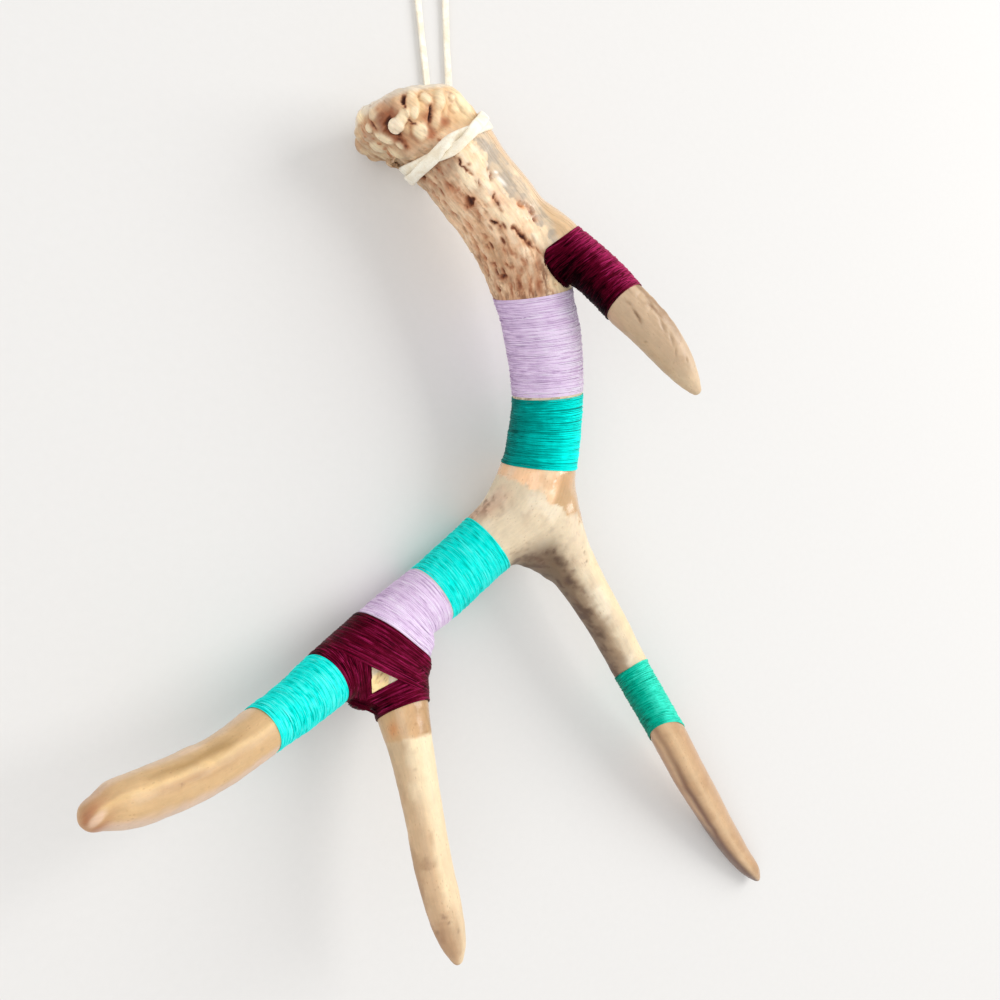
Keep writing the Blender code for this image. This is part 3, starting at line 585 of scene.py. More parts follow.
STAINS = [  # place, half length, half width, angle, colour, strength
    (386, 117, 7.4, 5.2, 75, (108, 58, 34), 1.0), (377, 107, 3.6, 2.6, 40, (212, 168, 130), 0.6), (388.5, 127, 5.0, 3.2, 80, (90, 34, 18), 1.0),
    (422, 103, 4.4, 3.0, 90, (248, 208, 152), 0.85), (398, 105, 3.2, 3.0, 60, (234, 196, 156), 0.6), (430, 132, 4.0, 3.0, 320, (182, 116, 80), 0.8),
    (445, 121, 3.4, 2.4, 35, (158, 104, 70), 0.75), (398, 140.5, 5.2, 3.0, 335, (112, 56, 30), 1.0), (411, 140, 4.0, 2.6, 330, (196, 148, 108), 0.7),
    (367, 127, 4.0, 3.6, 90, (182, 128, 90), 0.5), (374, 152, 4.6, 3.8, 320, (206, 192, 160), 0.85), (365, 140, 3.6, 3.2, 0, (184, 152, 124), 0.75),
    (378, 163, 3.4, 1.8, 350, (152, 112, 78), 0.8), (395, 157, 4.2, 2.8, 340, (214, 190, 152), 0.7), (358, 118, 3.4, 3.0, 0, (246, 220, 172), 0.7),
    (462, 102, 8.0, 5.6, 320, (250, 230, 184), 0.95), (448, 110, 3.6, 3.2, 60, (232, 196, 146), 0.6), (440, 96, 4.4, 2.8, 85, (244, 224, 180), 0.5),
    (428, 117, 2.6, 3.6, 90, (196, 130, 90), 0.6), (452, 92, 3.0, 1.2, 350, (208, 190, 164), 0.6),
    # the upper beam
    (446, 160, 6.4, 4.4, 320, (172, 140, 112), 0.75), (441, 170, 5.0, 3.4, 320, (158, 126, 100), 0.6), (459, 141, 2.4, 1.6, 20, (214, 140, 90), 0.8),
    (450, 148, 4.0, 2.6, 330, (250, 224, 188), 0.7), (422, 178, 3.0, 2.4, 0, (120, 70, 44), 0.7), (469, 178, 6.6, 3.0, 312, (252, 230, 196), 0.8),
    (474, 160, 4.4, 3.6, 320, (250, 222, 182), 0.6), (498, 197, 4.6, 3.0, 320, (226, 176, 142), 0.45), (508, 218, 8.0, 4.0, 318, (250, 220, 182), 0.65),
    (470, 203, 3.6, 2.8, 300, (158, 92, 56), 0.7), (527, 209, 6.0, 2.4, 320, (232, 160, 104), 0.75), (455, 196, 6.0, 2.6, 312, (190, 132, 92), 0.6),
    (556, 284, 4.2, 3.6, 320, (246, 222, 178), 0.9), (506, 262, 12.0, 6.0, 305, (168, 128, 96), 0.45), (486, 236, 7.0, 3.0, 310, (196, 150, 110), 0.5),
    (492, 250, 10.0, 4.0, 310, (184, 142, 102), 0.5), (528, 243, 7.0, 2.4, 316, (206, 160, 118), 0.6), (543, 240, 6.0, 2.6, 310, (250, 222, 184), 0.6),
]


def upper_piece(v, n):
    """The burr and the rough upper beam: how far points move, and their colour, darkness, roughness and gloss."""
    s, angle, out, r = LINES["beam"].where(v)
    rel = v - (BURR_AT + SHIFT)
    along = rel @ BURR_DIR
    burr_r = np.linalg.norm(rel - along[:, None] * BURR_DIR, axis=1)
    burr_a = np.arctan2(rel @ burr_e2, rel @ burr_e1)
    centre = LINES["beam"].at(s)[0]
    across = ((v - centre) @ (0.83 * RIGHT + 0.55 * UP)) / np.maximum(r, 1)
    covered = ramp(s, 92, 96)
    tine_s, _, tine_out, tine_r = LINES["brow"].where(v)
    on_tine = ramp(tine_s, 14, 20) * ramp(tine_out / tine_r, 1.5, 1.2)
    collar = ramp(along, 15, 8)  # 1 on the burr
    base = ramp(along, -8, -11)  # 1 on its underside, where it left the skull
    flow = np.stack([s / 9.5, np.cos(angle) * r / 3.0, np.sin(angle) * r / 3.0], 1)
    fine = np.stack([s / 4.2, np.cos(angle) * r / 1.25, np.sin(angle) * r / 1.25], 1)
    lumps = layered(v / 8, 13, 3)
    seen_x, seen_y = pictured(v)
    inner_x = np.interp(seen_y, [125, 135, 155, 174, 191, 205, 225, 245], [462, 470, 483, 488, 506, 519, 536, 556])
    edge_of_gloss = (seen_x - inner_x) / 10 + 0.9 * layered(v / 5.5, 31, 4)
    gloss = ramp(edge_of_gloss, -0.25, 0.45) * (1 - collar) * ramp(s, 93, 80) * ramp(across, -0.1, 0.15)
    rough = (1 - 0.9 * gloss) * (1 - covered) * (1 - on_tine)

    ridges = 1 - np.abs(layered(flow, 5, 3)) * 1.6
    streaks = layered(fine, 9, 3)
    patches = layered(v / 3.4, 15, 4)
    pores = ramp(cells(fine * 0.8, 21), 0.32, 0.12) * ramp(layered(v / 9, 41, 2), -0.25, 0.35)
    pits = ramp(cells(flow * 0.8 + 3, 27), 0.25, 0.10) * ramp(layered(v / 14, 43, 2), -0.1, 0.4)
    cracks = ramp(np.abs(layered(np.stack([s / 15, np.cos(angle) * r / 2.1, np.sin(angle) * r / 2.1], 1), 45, 3)), 0.12, 0.02)
    crest = ramp(across + 0.25 * lumps, -0.25, 0.15) * ramp(s + 5 * lumps, 78, 62)  # the smoother, paler part
    rugged = 1 - 0.65 * crest
    cracks *= (1 - crest) * rough * (1 - collar) * ramp(layered(v / 7, 47, 2), -0.5, 0.2)
    h = rough * (1 - collar) * rugged * (0.42 * ridges + 0.24 * streaks + 0.4 * lumps + 0.25 * patches - 0.45 * pores - 0.9 * pits - 0.2 - 0.35 * cracks)
    h += gloss * (0.12 * lumps + 0.06 * layered(flow * (0.6, 2, 2), 51, 2) + 0.1) * (1 - covered)

    # knobs all round the rim of the burr, with folds between them
    dice = np.random.default_rng(7)
    knob = np.zeros(len(v))
    count = 17
    for k in range(count):
        a0 = 2 * np.pi * (k + dice.uniform(-0.22, 0.22)) / count
        d = (burr_a - a0 + np.pi) % (2 * np.pi) - np.pi
        w, l, mid, tall = dice.uniform(2.6, 4.2), dice.uniform(5.0, 8.0), dice.uniform(-3, 1.5), dice.uniform(0.9, 2.0)
        knob = np.maximum(knob, tall * np.sqrt(np.clip(1 - (d * burr_r / w) ** 2 - ((along - mid) / l) ** 2, 0, 1)))
    turned = ramp(rel @ np.array([0.25, 0, -0.8]), -9, 6)  # the near side has its own table
    side = ramp(along, -11, -6) * collar
    folds = side * layered(np.stack([np.cos(burr_a) * 5.5, np.sin(burr_a) * 5.5, along / 9], 1), 61, 3)
    h += side * (knob * (0.1 + 0.9 * turned) + folds * (0.35 + 0.6 * turned) - 0.9)
    h += collar * 0.2 * layered(v / 3.2, 71, 3) * ramp(along, -10, -7)
    h += base * (0.4 * layered(v / 2.6, 73, 3) - 0.7 * ramp(cells(v / 3.0, 75), 0.32, 0.12) - 0.6)
    low_edge = rel @ unit(-0.42 * RIGHT - 0.9 * UP)
    h -= 0.42 * np.maximum(low_edge - 13.5, 0) * collar * ramp(rel @ AHEAD, 12, -4)
    # the outline of the burr: flatter on top, fuller at the upper right, cut in at the lower left
    h -= 1.7 * np.exp(-(((seen_x - 428) / 20) ** 2)) * ramp(seen_y, 104, 90) * collar
    h += 2.0 * np.exp(-(((seen_x - 474) / 9) ** 2) - ((seen_y - 100) / 11) ** 2)

    tone = 0.4 * ridges + 0.4 * streaks + 0.5 * patches
    left = ramp(across + 0.2 * lumps, 0.06, -0.5)
    low = ramp(s + 9 * lumps, 60, 84)
    near_neck = ramp(s + 6 * lumps, 44, 30) * ramp(across + 0.2 * lumps, 0.1, -0.25)
    brown = np.clip(0.75 * left + 0.85 * low * ramp(across + 0.1 * lumps, 0.62, 0.45), 0, 1)
    colour = mixed(np.repeat(srgb(252, 222, 184)[None], len(v), 0), srgb(216, 172, 134), brown)
    colour = mixed(colour, srgb(186, 146, 112), low * ramp(across + 0.1 * lumps, 0.55, 0.35) * (0.45 + 0.55 * ramp(layered(v / 4.5, 49, 3), 0.25, -0.35)))
    colour = mixed(colour, srgb(182, 152, 122), 0.8 * near_neck)
    colour = mixed(colour, srgb(255, 242, 216), ramp(tone, 0.0, 0.6) * (1 - 0.7 * brown) * (1 - 0.6 * near_neck) * 0.8)
    colour = mixed(colour, srgb(236, 200, 160), ramp(tone, 0.2, 0.7) * brown * 0.8)
    colour = mixed(colour, srgb(168, 120, 82), ramp(tone, -0.02, -0.55) * (0.35 + 0.5 * brown) * (1 - 0.75 * crest))
    colour = mixed(colour, srgb(124, 86, 60), ramp(tone - 0.25 * low, -0.15, -0.75) * (0.3 + 0.6 * low) * rough * (1 - 0.8 * crest))
    colour = mixed(colour, srgb(240, 172, 124), 0.4 * ramp(layered(v / 5.2, 81, 3), 0.3, 0.75) * (1 - 0.6 * brown))
    colour = mixed(colour, srgb(104, 68, 44), cracks * (0.35 + 0.55 * low) * 0.9)
    end_patch = ramp(across, 0.45, 0.6) * ramp(s, 80, 84)
    colour = mixed(colour, srgb(240, 214, 172), end_patch)
    shine = layered(v / 5.5 + 9, 85, 3)
    e = edge_of_gloss + 0.25 * shine
    smooth_side = mixed(np.repeat(srgb(246, 218, 180)[None], len(v), 0), srgb(186, 170, 150), ramp(e, 0.2, 0.6) * ramp(e, 3.2, 2.3) * (0.55 + 0.45 * ramp(shine, -0.35, 0.05)))
    smooth_side = mixed(smooth_side, srgb(208, 184, 152), ramp(layered(v / 4 + 5, 87, 3), 0.15, 0.6) * 0.5)
    smooth_side = mixed(smooth_side, srgb(216, 180, 136), ramp(across + 0.05 * lumps, 0.70, 0.84) * 0.9)
    # painted highlights: white spots where the glossy side catches the light
    smooth_side = mixed(smooth_side, srgb(255, 250, 240), 0.8 * np.maximum.reduce([stamp(v, x, y, l, w, a_, "swell") for x, y, l, w, a_ in (
        (477, 152, 2.6, 1.0, 330), (496, 172, 1.2, 0.8, 0), (501, 181, 3.0, 1.2, 320), (486, 163, 1.6, 0.6, 300))]))
    colour = colour * (1 - gloss[:, None]) + smooth_side * gloss[:, None]
    dark = np.clip(0.75 * pores * rough + 0.95 * pits * rough, 0, 1) * (1 - collar) * (1 - 0.4 * end_patch) * (1 - 0.75 * crest)

    # the burr: peach and tan between paler swellings, a grey and smooth rim, greyer and browner to the lower left
    burr_colour = mixed(np.repeat(srgb(226, 190, 144)[None], len(v), 0), srgb(198, 142, 96), ramp(folds, -0.05, -0.5) * (0.25 + 0.6 * turned))
    burr_colour = mixed(burr_colour, srgb(246, 226, 188), ramp(knob * turned + folds, 0.3, 1.1))
    burr_colour = mixed(burr_colour, srgb(190, 138, 96), ramp(patches + 0.5 * layered(v / 1.9, 95, 2), 0.25, 0.8) * 0.45 * (1 - base))
    burr_colour = mixed(burr_colour, srgb(240, 190, 136), ramp(layered(v / 5.5, 91, 2), 0.05, 0.6) * (0.25 + 0.4 * turned))
    lower_left = ramp(rel @ (-0.55 * RIGHT - 0.83 * UP), 3, 12)
    burr_colour = mixed(burr_colour, srgb(198, 170, 136), lower_left * 0.85)
    burr_colour = mixed(burr_colour, srgb(176, 132, 98), lower_left * ramp(patches + 0.4 * folds, 0.15, -0.5) * 0.6)
    rim = ramp(along + 1.2 * layered(v / 6, 93, 2), -5.6, -8.0)
    burr_colour = mixed(burr_colour, srgb(226, 210, 186), rim)
    burr_colour = mixed(burr_colour, srgb(226, 212, 190), base)
    dark = dark + base * 0.5 * ramp(cells(v / 3.0, 75), 0.3, 0.1)
    colour = colour * (1 - collar[:, None]) + burr_colour * collar[:, None]
    broken = 1 + 0.45 * layered(v / 2.4, 97, 3)
    drawn = v + (0.75 - 0.3 * collar)[:, None] * np.stack([layered(v / 1.9, 151 + j, 2) for j in range(3)], 1)  # breaks up the marks' outlines
    for px, py, length, width, turn_by, tint, amount in STAINS:
        colour = mixed(colour, srgb(*tint), stamp(drawn, px, py, length, width, turn_by, "swell") * amount * 1.1 * broken * (1 - 0.8 * gloss))

    dent, shade, red = np.zeros(len(v)), np.zeros(len(v)), np.zeros(len(v))
    for px, py, length, width, turn_by, deep, black in DENTS:
        hole = stamp(drawn, px, py, length, width, turn_by, "hole")
        dent = np.maximum(dent, deep * hole)
        soft = stamp(drawn, px, py, length * 1.05, width * 1.15, turn_by, "soft")
        shade = np.maximum(shade, black * (np.maximum(soft, 0.85 * hole) if black > 1.08 else soft))
        red = np.maximum(red, stamp(v, px, py, length * 1.8, width * 2.2, turn_by, "soft") * min(black, 1))
    raised, pale, crease_painted_shade = np.zeros(len(v)), np.zeros(len(v)), np.zeros(len(v))
    for k, (px, py, length, width, turn_by, tall, light) in enumerate(KNOBS):
        got = stamp(v, px, py, length, width, turn_by, "dome" if k < 4 else "swell")
        raised = np.maximum(raised, tall * got)
        pale = np.maximum(pale, light * ramp(got, 0.1, 0.8))
        # a crease round each knob, darkest on the side away from the light: painted shade
        crease_painted_shade = np.maximum(crease_painted_shade, min(tall, 1.3) * (0.5 if max(length, width) > 4.5 else 0.85) * stamp(drawn, px, py, length, width, turn_by, "ring"))
    open_ = 1 - ramp(raised, 0.5, 1.3)
    crease_painted_shade *= collar * ramp(raised, 0.9, 0.4)
    h = h - 0.45 * crease_painted_shade
    # painted shade in the creases round the knobs
    colour = mixed(colour, srgb(158, 98, 60), crease_painted_shade * 0.62)
    h = h * (1 - 0.8 * ramp(dent, 0, 1)) - dent * open_ * 0.9 + raised
    dark = np.maximum(dark, shade * open_)
    colour = mixed(colour, srgb(224, 158, 112), red * 0.42 * open_)
    colour = mixed(colour, srgb(247, 228, 192), pale * 0.85)
    first = stamp(v, 396, 126, 3.3, 3.2, 0, "dome")
    colour = mixed(colour, srgb(244, 226, 198), ramp(first, 0.1, 0.6))
    dark *= 1 - ramp(first, 0.05, 0.4)

    colour = mixed(colour, srgb(158, 88, 50), np.clip(dark * 1.05, 0, 1) * 0.95)
    colour = mixed(colour, srgb(66, 24, 14), ramp(dark, 0.62, 1.2))
    roughness = 0.56 - 0.28 * gloss - 0.12 * collar * ramp(knob + raised, 0.3, 1.2) - 0.2 * rim * collar + 0.2 * dark
    return h, colour, dark, roughness, 0.5 * gloss + 0.15 * rim * collar, s, angle, r


def lower_piece(v, n, branch):
    """The smoother bone below the first bindings."""
    s, angle, out, r = LINES["beam"].where(v)
    ts, ta, tout, tr = LINES["back"].where(v)
    fs, fa, fout, fr = LINES["fore"].where(v)
    line = LINES[branch]
    own = {"beam": (s, angle, r), "back": (ts, ta, tr), "fore": (fs, fa, fr)}[branch]
    on_back = ramp(tout / np.maximum(tr, 1), 1.35, 1.12) * ramp(ts, 22, 40)
    flow = np.where(
        (on_back > 0.5)[:, None],
        np.stack([ts / 12, np.cos(ta) * tr / 2.5, np.sin(ta) * tr / 2.5], 1),
        np.stack([own[0] / 12, np.cos(own[1]) * own[2] / 2.5, np.sin(own[1]) * own[2] / 2.5], 1),
    )
    lumps = layered(v / 11, 101, 3)
    blotch = layered(v / 8, 103, 4)
    small = layered(v / 2.6, 107, 3)
    h = 0.22 * lumps + 0.05 * small
    cream = srgb(240, 226, 200)
    colour = np.repeat(cream[None], len(v), 0)
    colour = mixed(colour, srgb(222, 200, 168), ramp(blotch, -0.1, 0.6) * 0.7)
    dark = np.zeros(len(v))
    roughness = 0.46 + 0.05 * blotch
    return h, colour, dark, roughness, own[0], own[1], own[2], on_back, blotch, small, lumps, (s, angle, r), (ts, ta, tr), (fs, fa, fr)


def middle_piece(v, n):
    h, colour, dark, roughness, _, _, _, on_back, blotch, small, lumps, beam, back, _ = lower_piece(v, n, "beam")
    s, angle, r = beam
    ts, ta, tr = back
    fine = layered(v / 1.5, 111, 3)
    cloud = layered(v / 14, 113, 3)
    colour = np.repeat(srgb(224, 206, 176)[None], len(v), 0)
    colour = mixed(colour, srgb(214, 192, 162), ramp(blotch, 0.0, 0.55) * 0.6)
    colour = mixed(colour, srgb(238, 224, 198), ramp(cloud, 0.1, 0.5) * 0.8)
    colour = mixed(colour, srgb(196, 178, 156), ramp(small + 0.6 * blotch, 0.35, 0.9) * 0.35)
    # a browner patch at the upper left, its lines fine and broken
    patch = np.maximum(stamp(v, 492, 503, 11, 6.5, 25, "soft"), 0.8 * stamp(v, 474, 514, 8, 6, 40, "soft")) * (1 - on_back)
    colour = mixed(colour, srgb(212, 176, 148), np.clip(patch * 1.5, 0, 1) * (0.75 + 0.25 * ramp(blotch, -0.4, 0.3)))
    colour = mixed(colour, srgb(140, 104, 82), patch * ramp(small + 0.7 * fine + 0.4 * blotch, 0.05, 0.8) * 0.9)
    core = stamp(v, 489, 500, 6.5, 3.0, 335, "soft")
    colour = mixed(colour, srgb(138, 106, 86), core * ramp(fine + small, -0.4, 0.6) * 0.8)
    # brown along the left and under side of the back tine, darkest near its root
    below = ((v - LINES["back"].at(ts)[0]) @ unit(-0.83 * RIGHT - 0.55 * UP)) / tr
    along = ramp(ts, 14, 28) * ramp(ts, 99, 90)
    near = ramp(tr * 2.2 - np.linalg.norm(v - LINES["back"].at(ts)[0], axis=1), 0, 4)
    edge = below + 0.16 * blotch + 0.10 * small
    stain = ramp(edge, -0.25, 0.35) * along * near
    colour = mixed(colour, srgb(152, 124, 95), stain * 0.9)
    deep = ramp(edge + 0.25 * ramp(ts, 60, 25) - 0.12 * ramp(ts, 60, 88), 0.18, 0.72) * along * near
    colour = mixed(colour, srgb(98, 72, 52), deep * (0.72 + 0.28 * ramp(small + blotch, -0.3, 0.4)))
    colour = mixed(colour, srgb(92, 66, 50), deep * ramp(small + 0.8 * blotch + 0.3 * fine, 0.2, 0.8) * ramp(ts, 74, 50) * 0.8)
    colour = mixed(colour, srgb(230, 210, 170), on_back * ramp(below + 0.1 * blotch, -0.30, -0.7) * 0.85 * ramp(ts, 96, 90))
    crotch = stamp(v, 545, 562, 7, 3.0, 350, "soft")
    colour = mixed(colour, srgb(140, 110, 88), crotch * ramp(small + 0.5 * fine + 0.4 * blotch, 0.1, 0.7) * 0.8)
    # past its binding the back tine is finished in a satin tan, with a brown stripe down its left and a dark point
    satin = ramp(ts, 118, 122)
    tan = mixed(np.repeat(srgb(204, 166, 124)[None], len(v), 0), srgb(192, 152, 110), ramp(lumps, -0.2, 0.4))
    side = ((v - LINES["back"].at(ts)[0]) @ unit(-0.86 * RIGHT - 0.5 * UP)) / tr
    front = ((v - LINES["back"].at(ts)[0]) @ (-AHEAD)) / tr
    stripe = np.exp(-(((side - 0.50 - 0.05 * lumps) / 0.20) ** 2)) * ramp(front, -0.4, 0.2)
    tan = mixed(tan, srgb(112, 66, 30), stripe * (0.6 + 0.4 * ramp(ts, 134, 175)) * ramp(ts, 118, 126))
    # darker along the left edge as seen: painted shade
    tan = mixed(tan, srgb(160, 112, 70), ramp(side, 0.66, 0.9) * 0.8)
    # a pale band right of the middle: painted highlight
    tan = mixed(tan, srgb(232, 200, 158), np.exp(-(((side + 0.16) / 0.2) ** 2)) * 0.5)
    tan = mixed(tan, srgb(184, 144, 104), ramp(side, -0.45, -0.8) * 0.6)
    tan = mixed(tan, srgb(96, 56, 28), ramp(side + (ts - 205) / 70, 0.36, 0.85) * 0.9 * ramp(ts, 165, 215))
    tan = mixed(tan, srgb(74, 44, 30), ramp(ts + 3 * small + 10 * side, 250, 262) * 0.9)
    colour = colour * (1 - satin[:, None]) + tan * satin[:, None]
    roughness = roughness * (1 - satin) + 0.34 * satin
    h = h * (1 - 0.6 * satin)
    for px, py, length, width, turn_by, deep_, black in [
        (611, 545, 1.5, 0.9, 300, 0.5, 0.8), (606, 556, 1.2, 0.8, 0, 0.5, 0.6), (585, 553, 1.3, 0.7, 290, 0.4, 0.9), (587, 561, 0.9, 0.7, 0, 0.4, 0.8),
        (583, 548, 0.8, 0.5, 0, 0.3, 0.6), (573, 571, 1.6, 1.1, 20, 0.5, 0.7), (557, 563, 1.2, 0.8, 0, 0.4, 0.7), (548, 567, 1.4, 0.8, 10, 0.4, 0.6),
        (561, 545, 0.9, 0.7, 0, 0.3, 0.4), (584, 592, 1.8, 1.1, 310, 0.5, 0.6), (566, 583, 2.2, 1.2, 300, 0.5, 0.8), (576, 601, 2.4, 1.1, 300, 0.5, 0.7),
        (529, 484, 0.8, 0.6, 0, 0.3, 0.9), (527, 486, 0.5, 0.4, 0, 0.2, 0.7), (561, 536, 1.4, 0.9, 20, 0.3, 0.25), (536, 558, 1.0, 0.7, 0, 0.3, 0.6),
    ]:
        got = stamp(v, px, py, length, width, turn_by, "soft")
        h -= deep_ * got
        dark = np.maximum(dark, black * got)
    colour = mixed(colour, srgb(104, 72, 52), dark * 0.9)
    # varnish above the grey patch: tan-orange, with a ragged lower edge
    drip = s + 1.5 * layered(v / 3.2, 131, 3) + 0.9 * small - 2.0 * ((v - LINES["beam"].at(s)[0]) @ RIGHT) / r
    varnish = ramp(drip, 172.5, 170.8) * ramp(s, 150, 160) * (1 - on_back)
    turn_right = ((v - LINES["beam"].at(s)[0]) @ RIGHT) / r
    orange = mixed(np.repeat(srgb(250, 202, 156)[None], len(v), 0), srgb(236, 210, 174), np.exp(-(((turn_right - 0.22) / 0.20) ** 2)) * 0.8)
    orange = mixed(orange, srgb(186, 150, 104), ramp(turn_right, 0.46, 0.60) * 0.85)
    orange = mixed(orange, srgb(240, 222, 196), np.exp(-(((turn_right + 0.66) / 0.09) ** 2)) * 0.7)
    orange = mixed(orange, srgb(212, 160, 112), ramp(blotch, 0.1, 0.6) * 0.4 + 0.35 * ramp(turn_right, -0.45, -0.6))
    # painted highlights in the varnish
    painted_glints = np.exp(-(((turn_right - 0.42) / 0.05) ** 2)) * ramp(fine + small, 0.0, 0.5)
    orange = mixed(orange, srgb(252, 240, 222), painted_glints * 0.8)
    colour = colour * (1 - varnish[:, None]) + orange * varnish[:, None]
    h += 0.16 * varnish
    # a dark line where the bone shows between the two bindings: painted shade in the gap
    gap_painted_shade = np.clip(1 - np.abs(s - 131.0) / 0.8, 0, 1)
    colour = mixed(colour, srgb(96, 66, 48), gap_painted_shade * ramp(fine, -0.3, 0.3) * 0.8)
    roughness = roughness * (1 - varnish) + 0.2 * varnish
    wet = np.clip(0.7 * varnish + 0.35 * satin, 0, 1)
    use_back = on_back > 0.5
    return h, colour, dark, roughness, wet, np.where(use_back, ts, s), np.where(use_back, ta, angle), np.where(use_back, tr, r)


def window_of(v):
    """The bare place between the threads of the fork, and the knob in it."""
    return stamp(v, 382.5, 680, 8.0, 8.0, 0, "hole"), stamp(v, 378.5, 683.2, 5.4, 4.0, 62, "dome")


def paint_fork(v, n):
    h, colour, dark, roughness, *rest = lower_piece(v, n, "beam")
    blotch = rest[4]
    s, angle, out, r = LINES["beam"].where(v)
    colour = mixed(np.repeat(srgb(244, 228, 200)[None], len(v), 0), srgb(228, 202, 164), ramp(blotch, 0.0, 0.6) * 0.5)
    _, bump = window_of(v)
    colour = mixed(colour, srgb(250, 222, 158), ramp(bump, 0.05, 0.5) * 0.9)
    # a pinkish painted highlight on the knob
    colour = mixed(colour, srgb(236, 190, 170), stamp(v, 381, 680, 1.3, 0.9, 60, "soft") * 0.6)
    # dark strokes round the top of the knob: painted shade in the crease where it meets the threads
    for px, py, length, turn_by in ((374.5, 677.0, 2.0, 62), (379, 673.5, 1.8, 12), (385, 679, 2.2, 300)):
        colour = mixed(colour, srgb(150, 108, 72), stamp(v, px, py, length, 0.5, turn_by, "soft") * 0.8)
    return 0 * h, colour, dark, roughness, np.zeros(len(v)), s, angle, r


def paint_tip(v, n):
    h, colour, dark, roughness, *rest = lower_piece(v, n, "beam")
    lumps = layered(v / 9, 121, 3)
    s, angle, out, r = LINES["beam"].where(v)
    p = LINES["beam"].at(s)[0]
    front = ((v - p) @ (0.5 * UP - 0.866 * AHEAD)) / np.maximum(r, 1)
    flow = np.stack([s / 30, np.cos(angle) * 2.2, np.sin(angle) * 2.2], 1)
    drift = layered(flow, 123, 3)
    q = ((v - p) @ unit(-0.45 * RIGHT + 0.89 * UP)) / np.maximum(r, 1) + 0.10 * lumps + 0.05 * drift  # 1 on the upper edge as seen
    gold = np.repeat(srgb(203, 168, 122)[None], len(v), 0)
    gold = mixed(gold, srgb(216, 180, 132), ramp(-drift, 0.1, 0.6) * 0.5)
    length_on = ramp(s, 334, 352) * ramp(s, LINES["beam"].length - 8, LINES["beam"].length - 24)
    gold = mixed(gold, srgb(160, 126, 74), np.exp(-(((q - 0.44) / 0.20) ** 2)) * (0.7 + 0.3 * ramp(drift, -0.3, 0.3)) * length_on * 0.85)
    # a pale band along the middle is a painted highlight
    gold = mixed(gold, srgb(226, 192, 136), np.exp(-(((q - 0.14) / 0.12) ** 2)) * 0.7)
    gold = mixed(gold, srgb(176, 136, 90), np.exp(-(((q + 0.16) / 0.16) ** 2)) * (0.55 + 0.45 * ramp(drift, 0.3, -0.3)) * length_on * 0.8)
    # paler lower and upper edges as seen: painted reflection at the grazing edges
    gold = mixed(gold, srgb(216, 188, 166), ramp(q, -0.55, -0.88) * 0.85)
    gold = mixed(gold, srgb(228, 202, 178), ramp(q, 0.72, 0.95) * 0.6)
    # a blunt end: a pale worn streak with reddish brown on both sides of it
    spot = stamp(v, 97, 820, 5.4, 2.3, 45, "soft")
    ring = np.clip(stamp(v, 92, 823, 7.5, 5.4, 60, "soft") * 1.3 - spot * 1.3, 0, 1)
    gold = mixed(gold, srgb(160, 92, 54), ring * 0.95)
    gold = mixed(gold, srgb(226, 192, 166), ramp(spot, 0.25, 0.8) * 0.75)
    for px, py, size in ((262, 750, 0.7), (183, 785, 0.6), (231, 766, 0.4)):
        got = stamp(v, px, py, size, size * 0.8, 0, "soft")
        gold = mixed(gold, srgb(120, 78, 44), got * 0.8)
    h = 0.30 * lumps + 0.12 * drift
    return h, gold, dark, np.full(len(v), 0.44) + 0.04 * drift, np.full(len(v), 0.04), s, angle, r


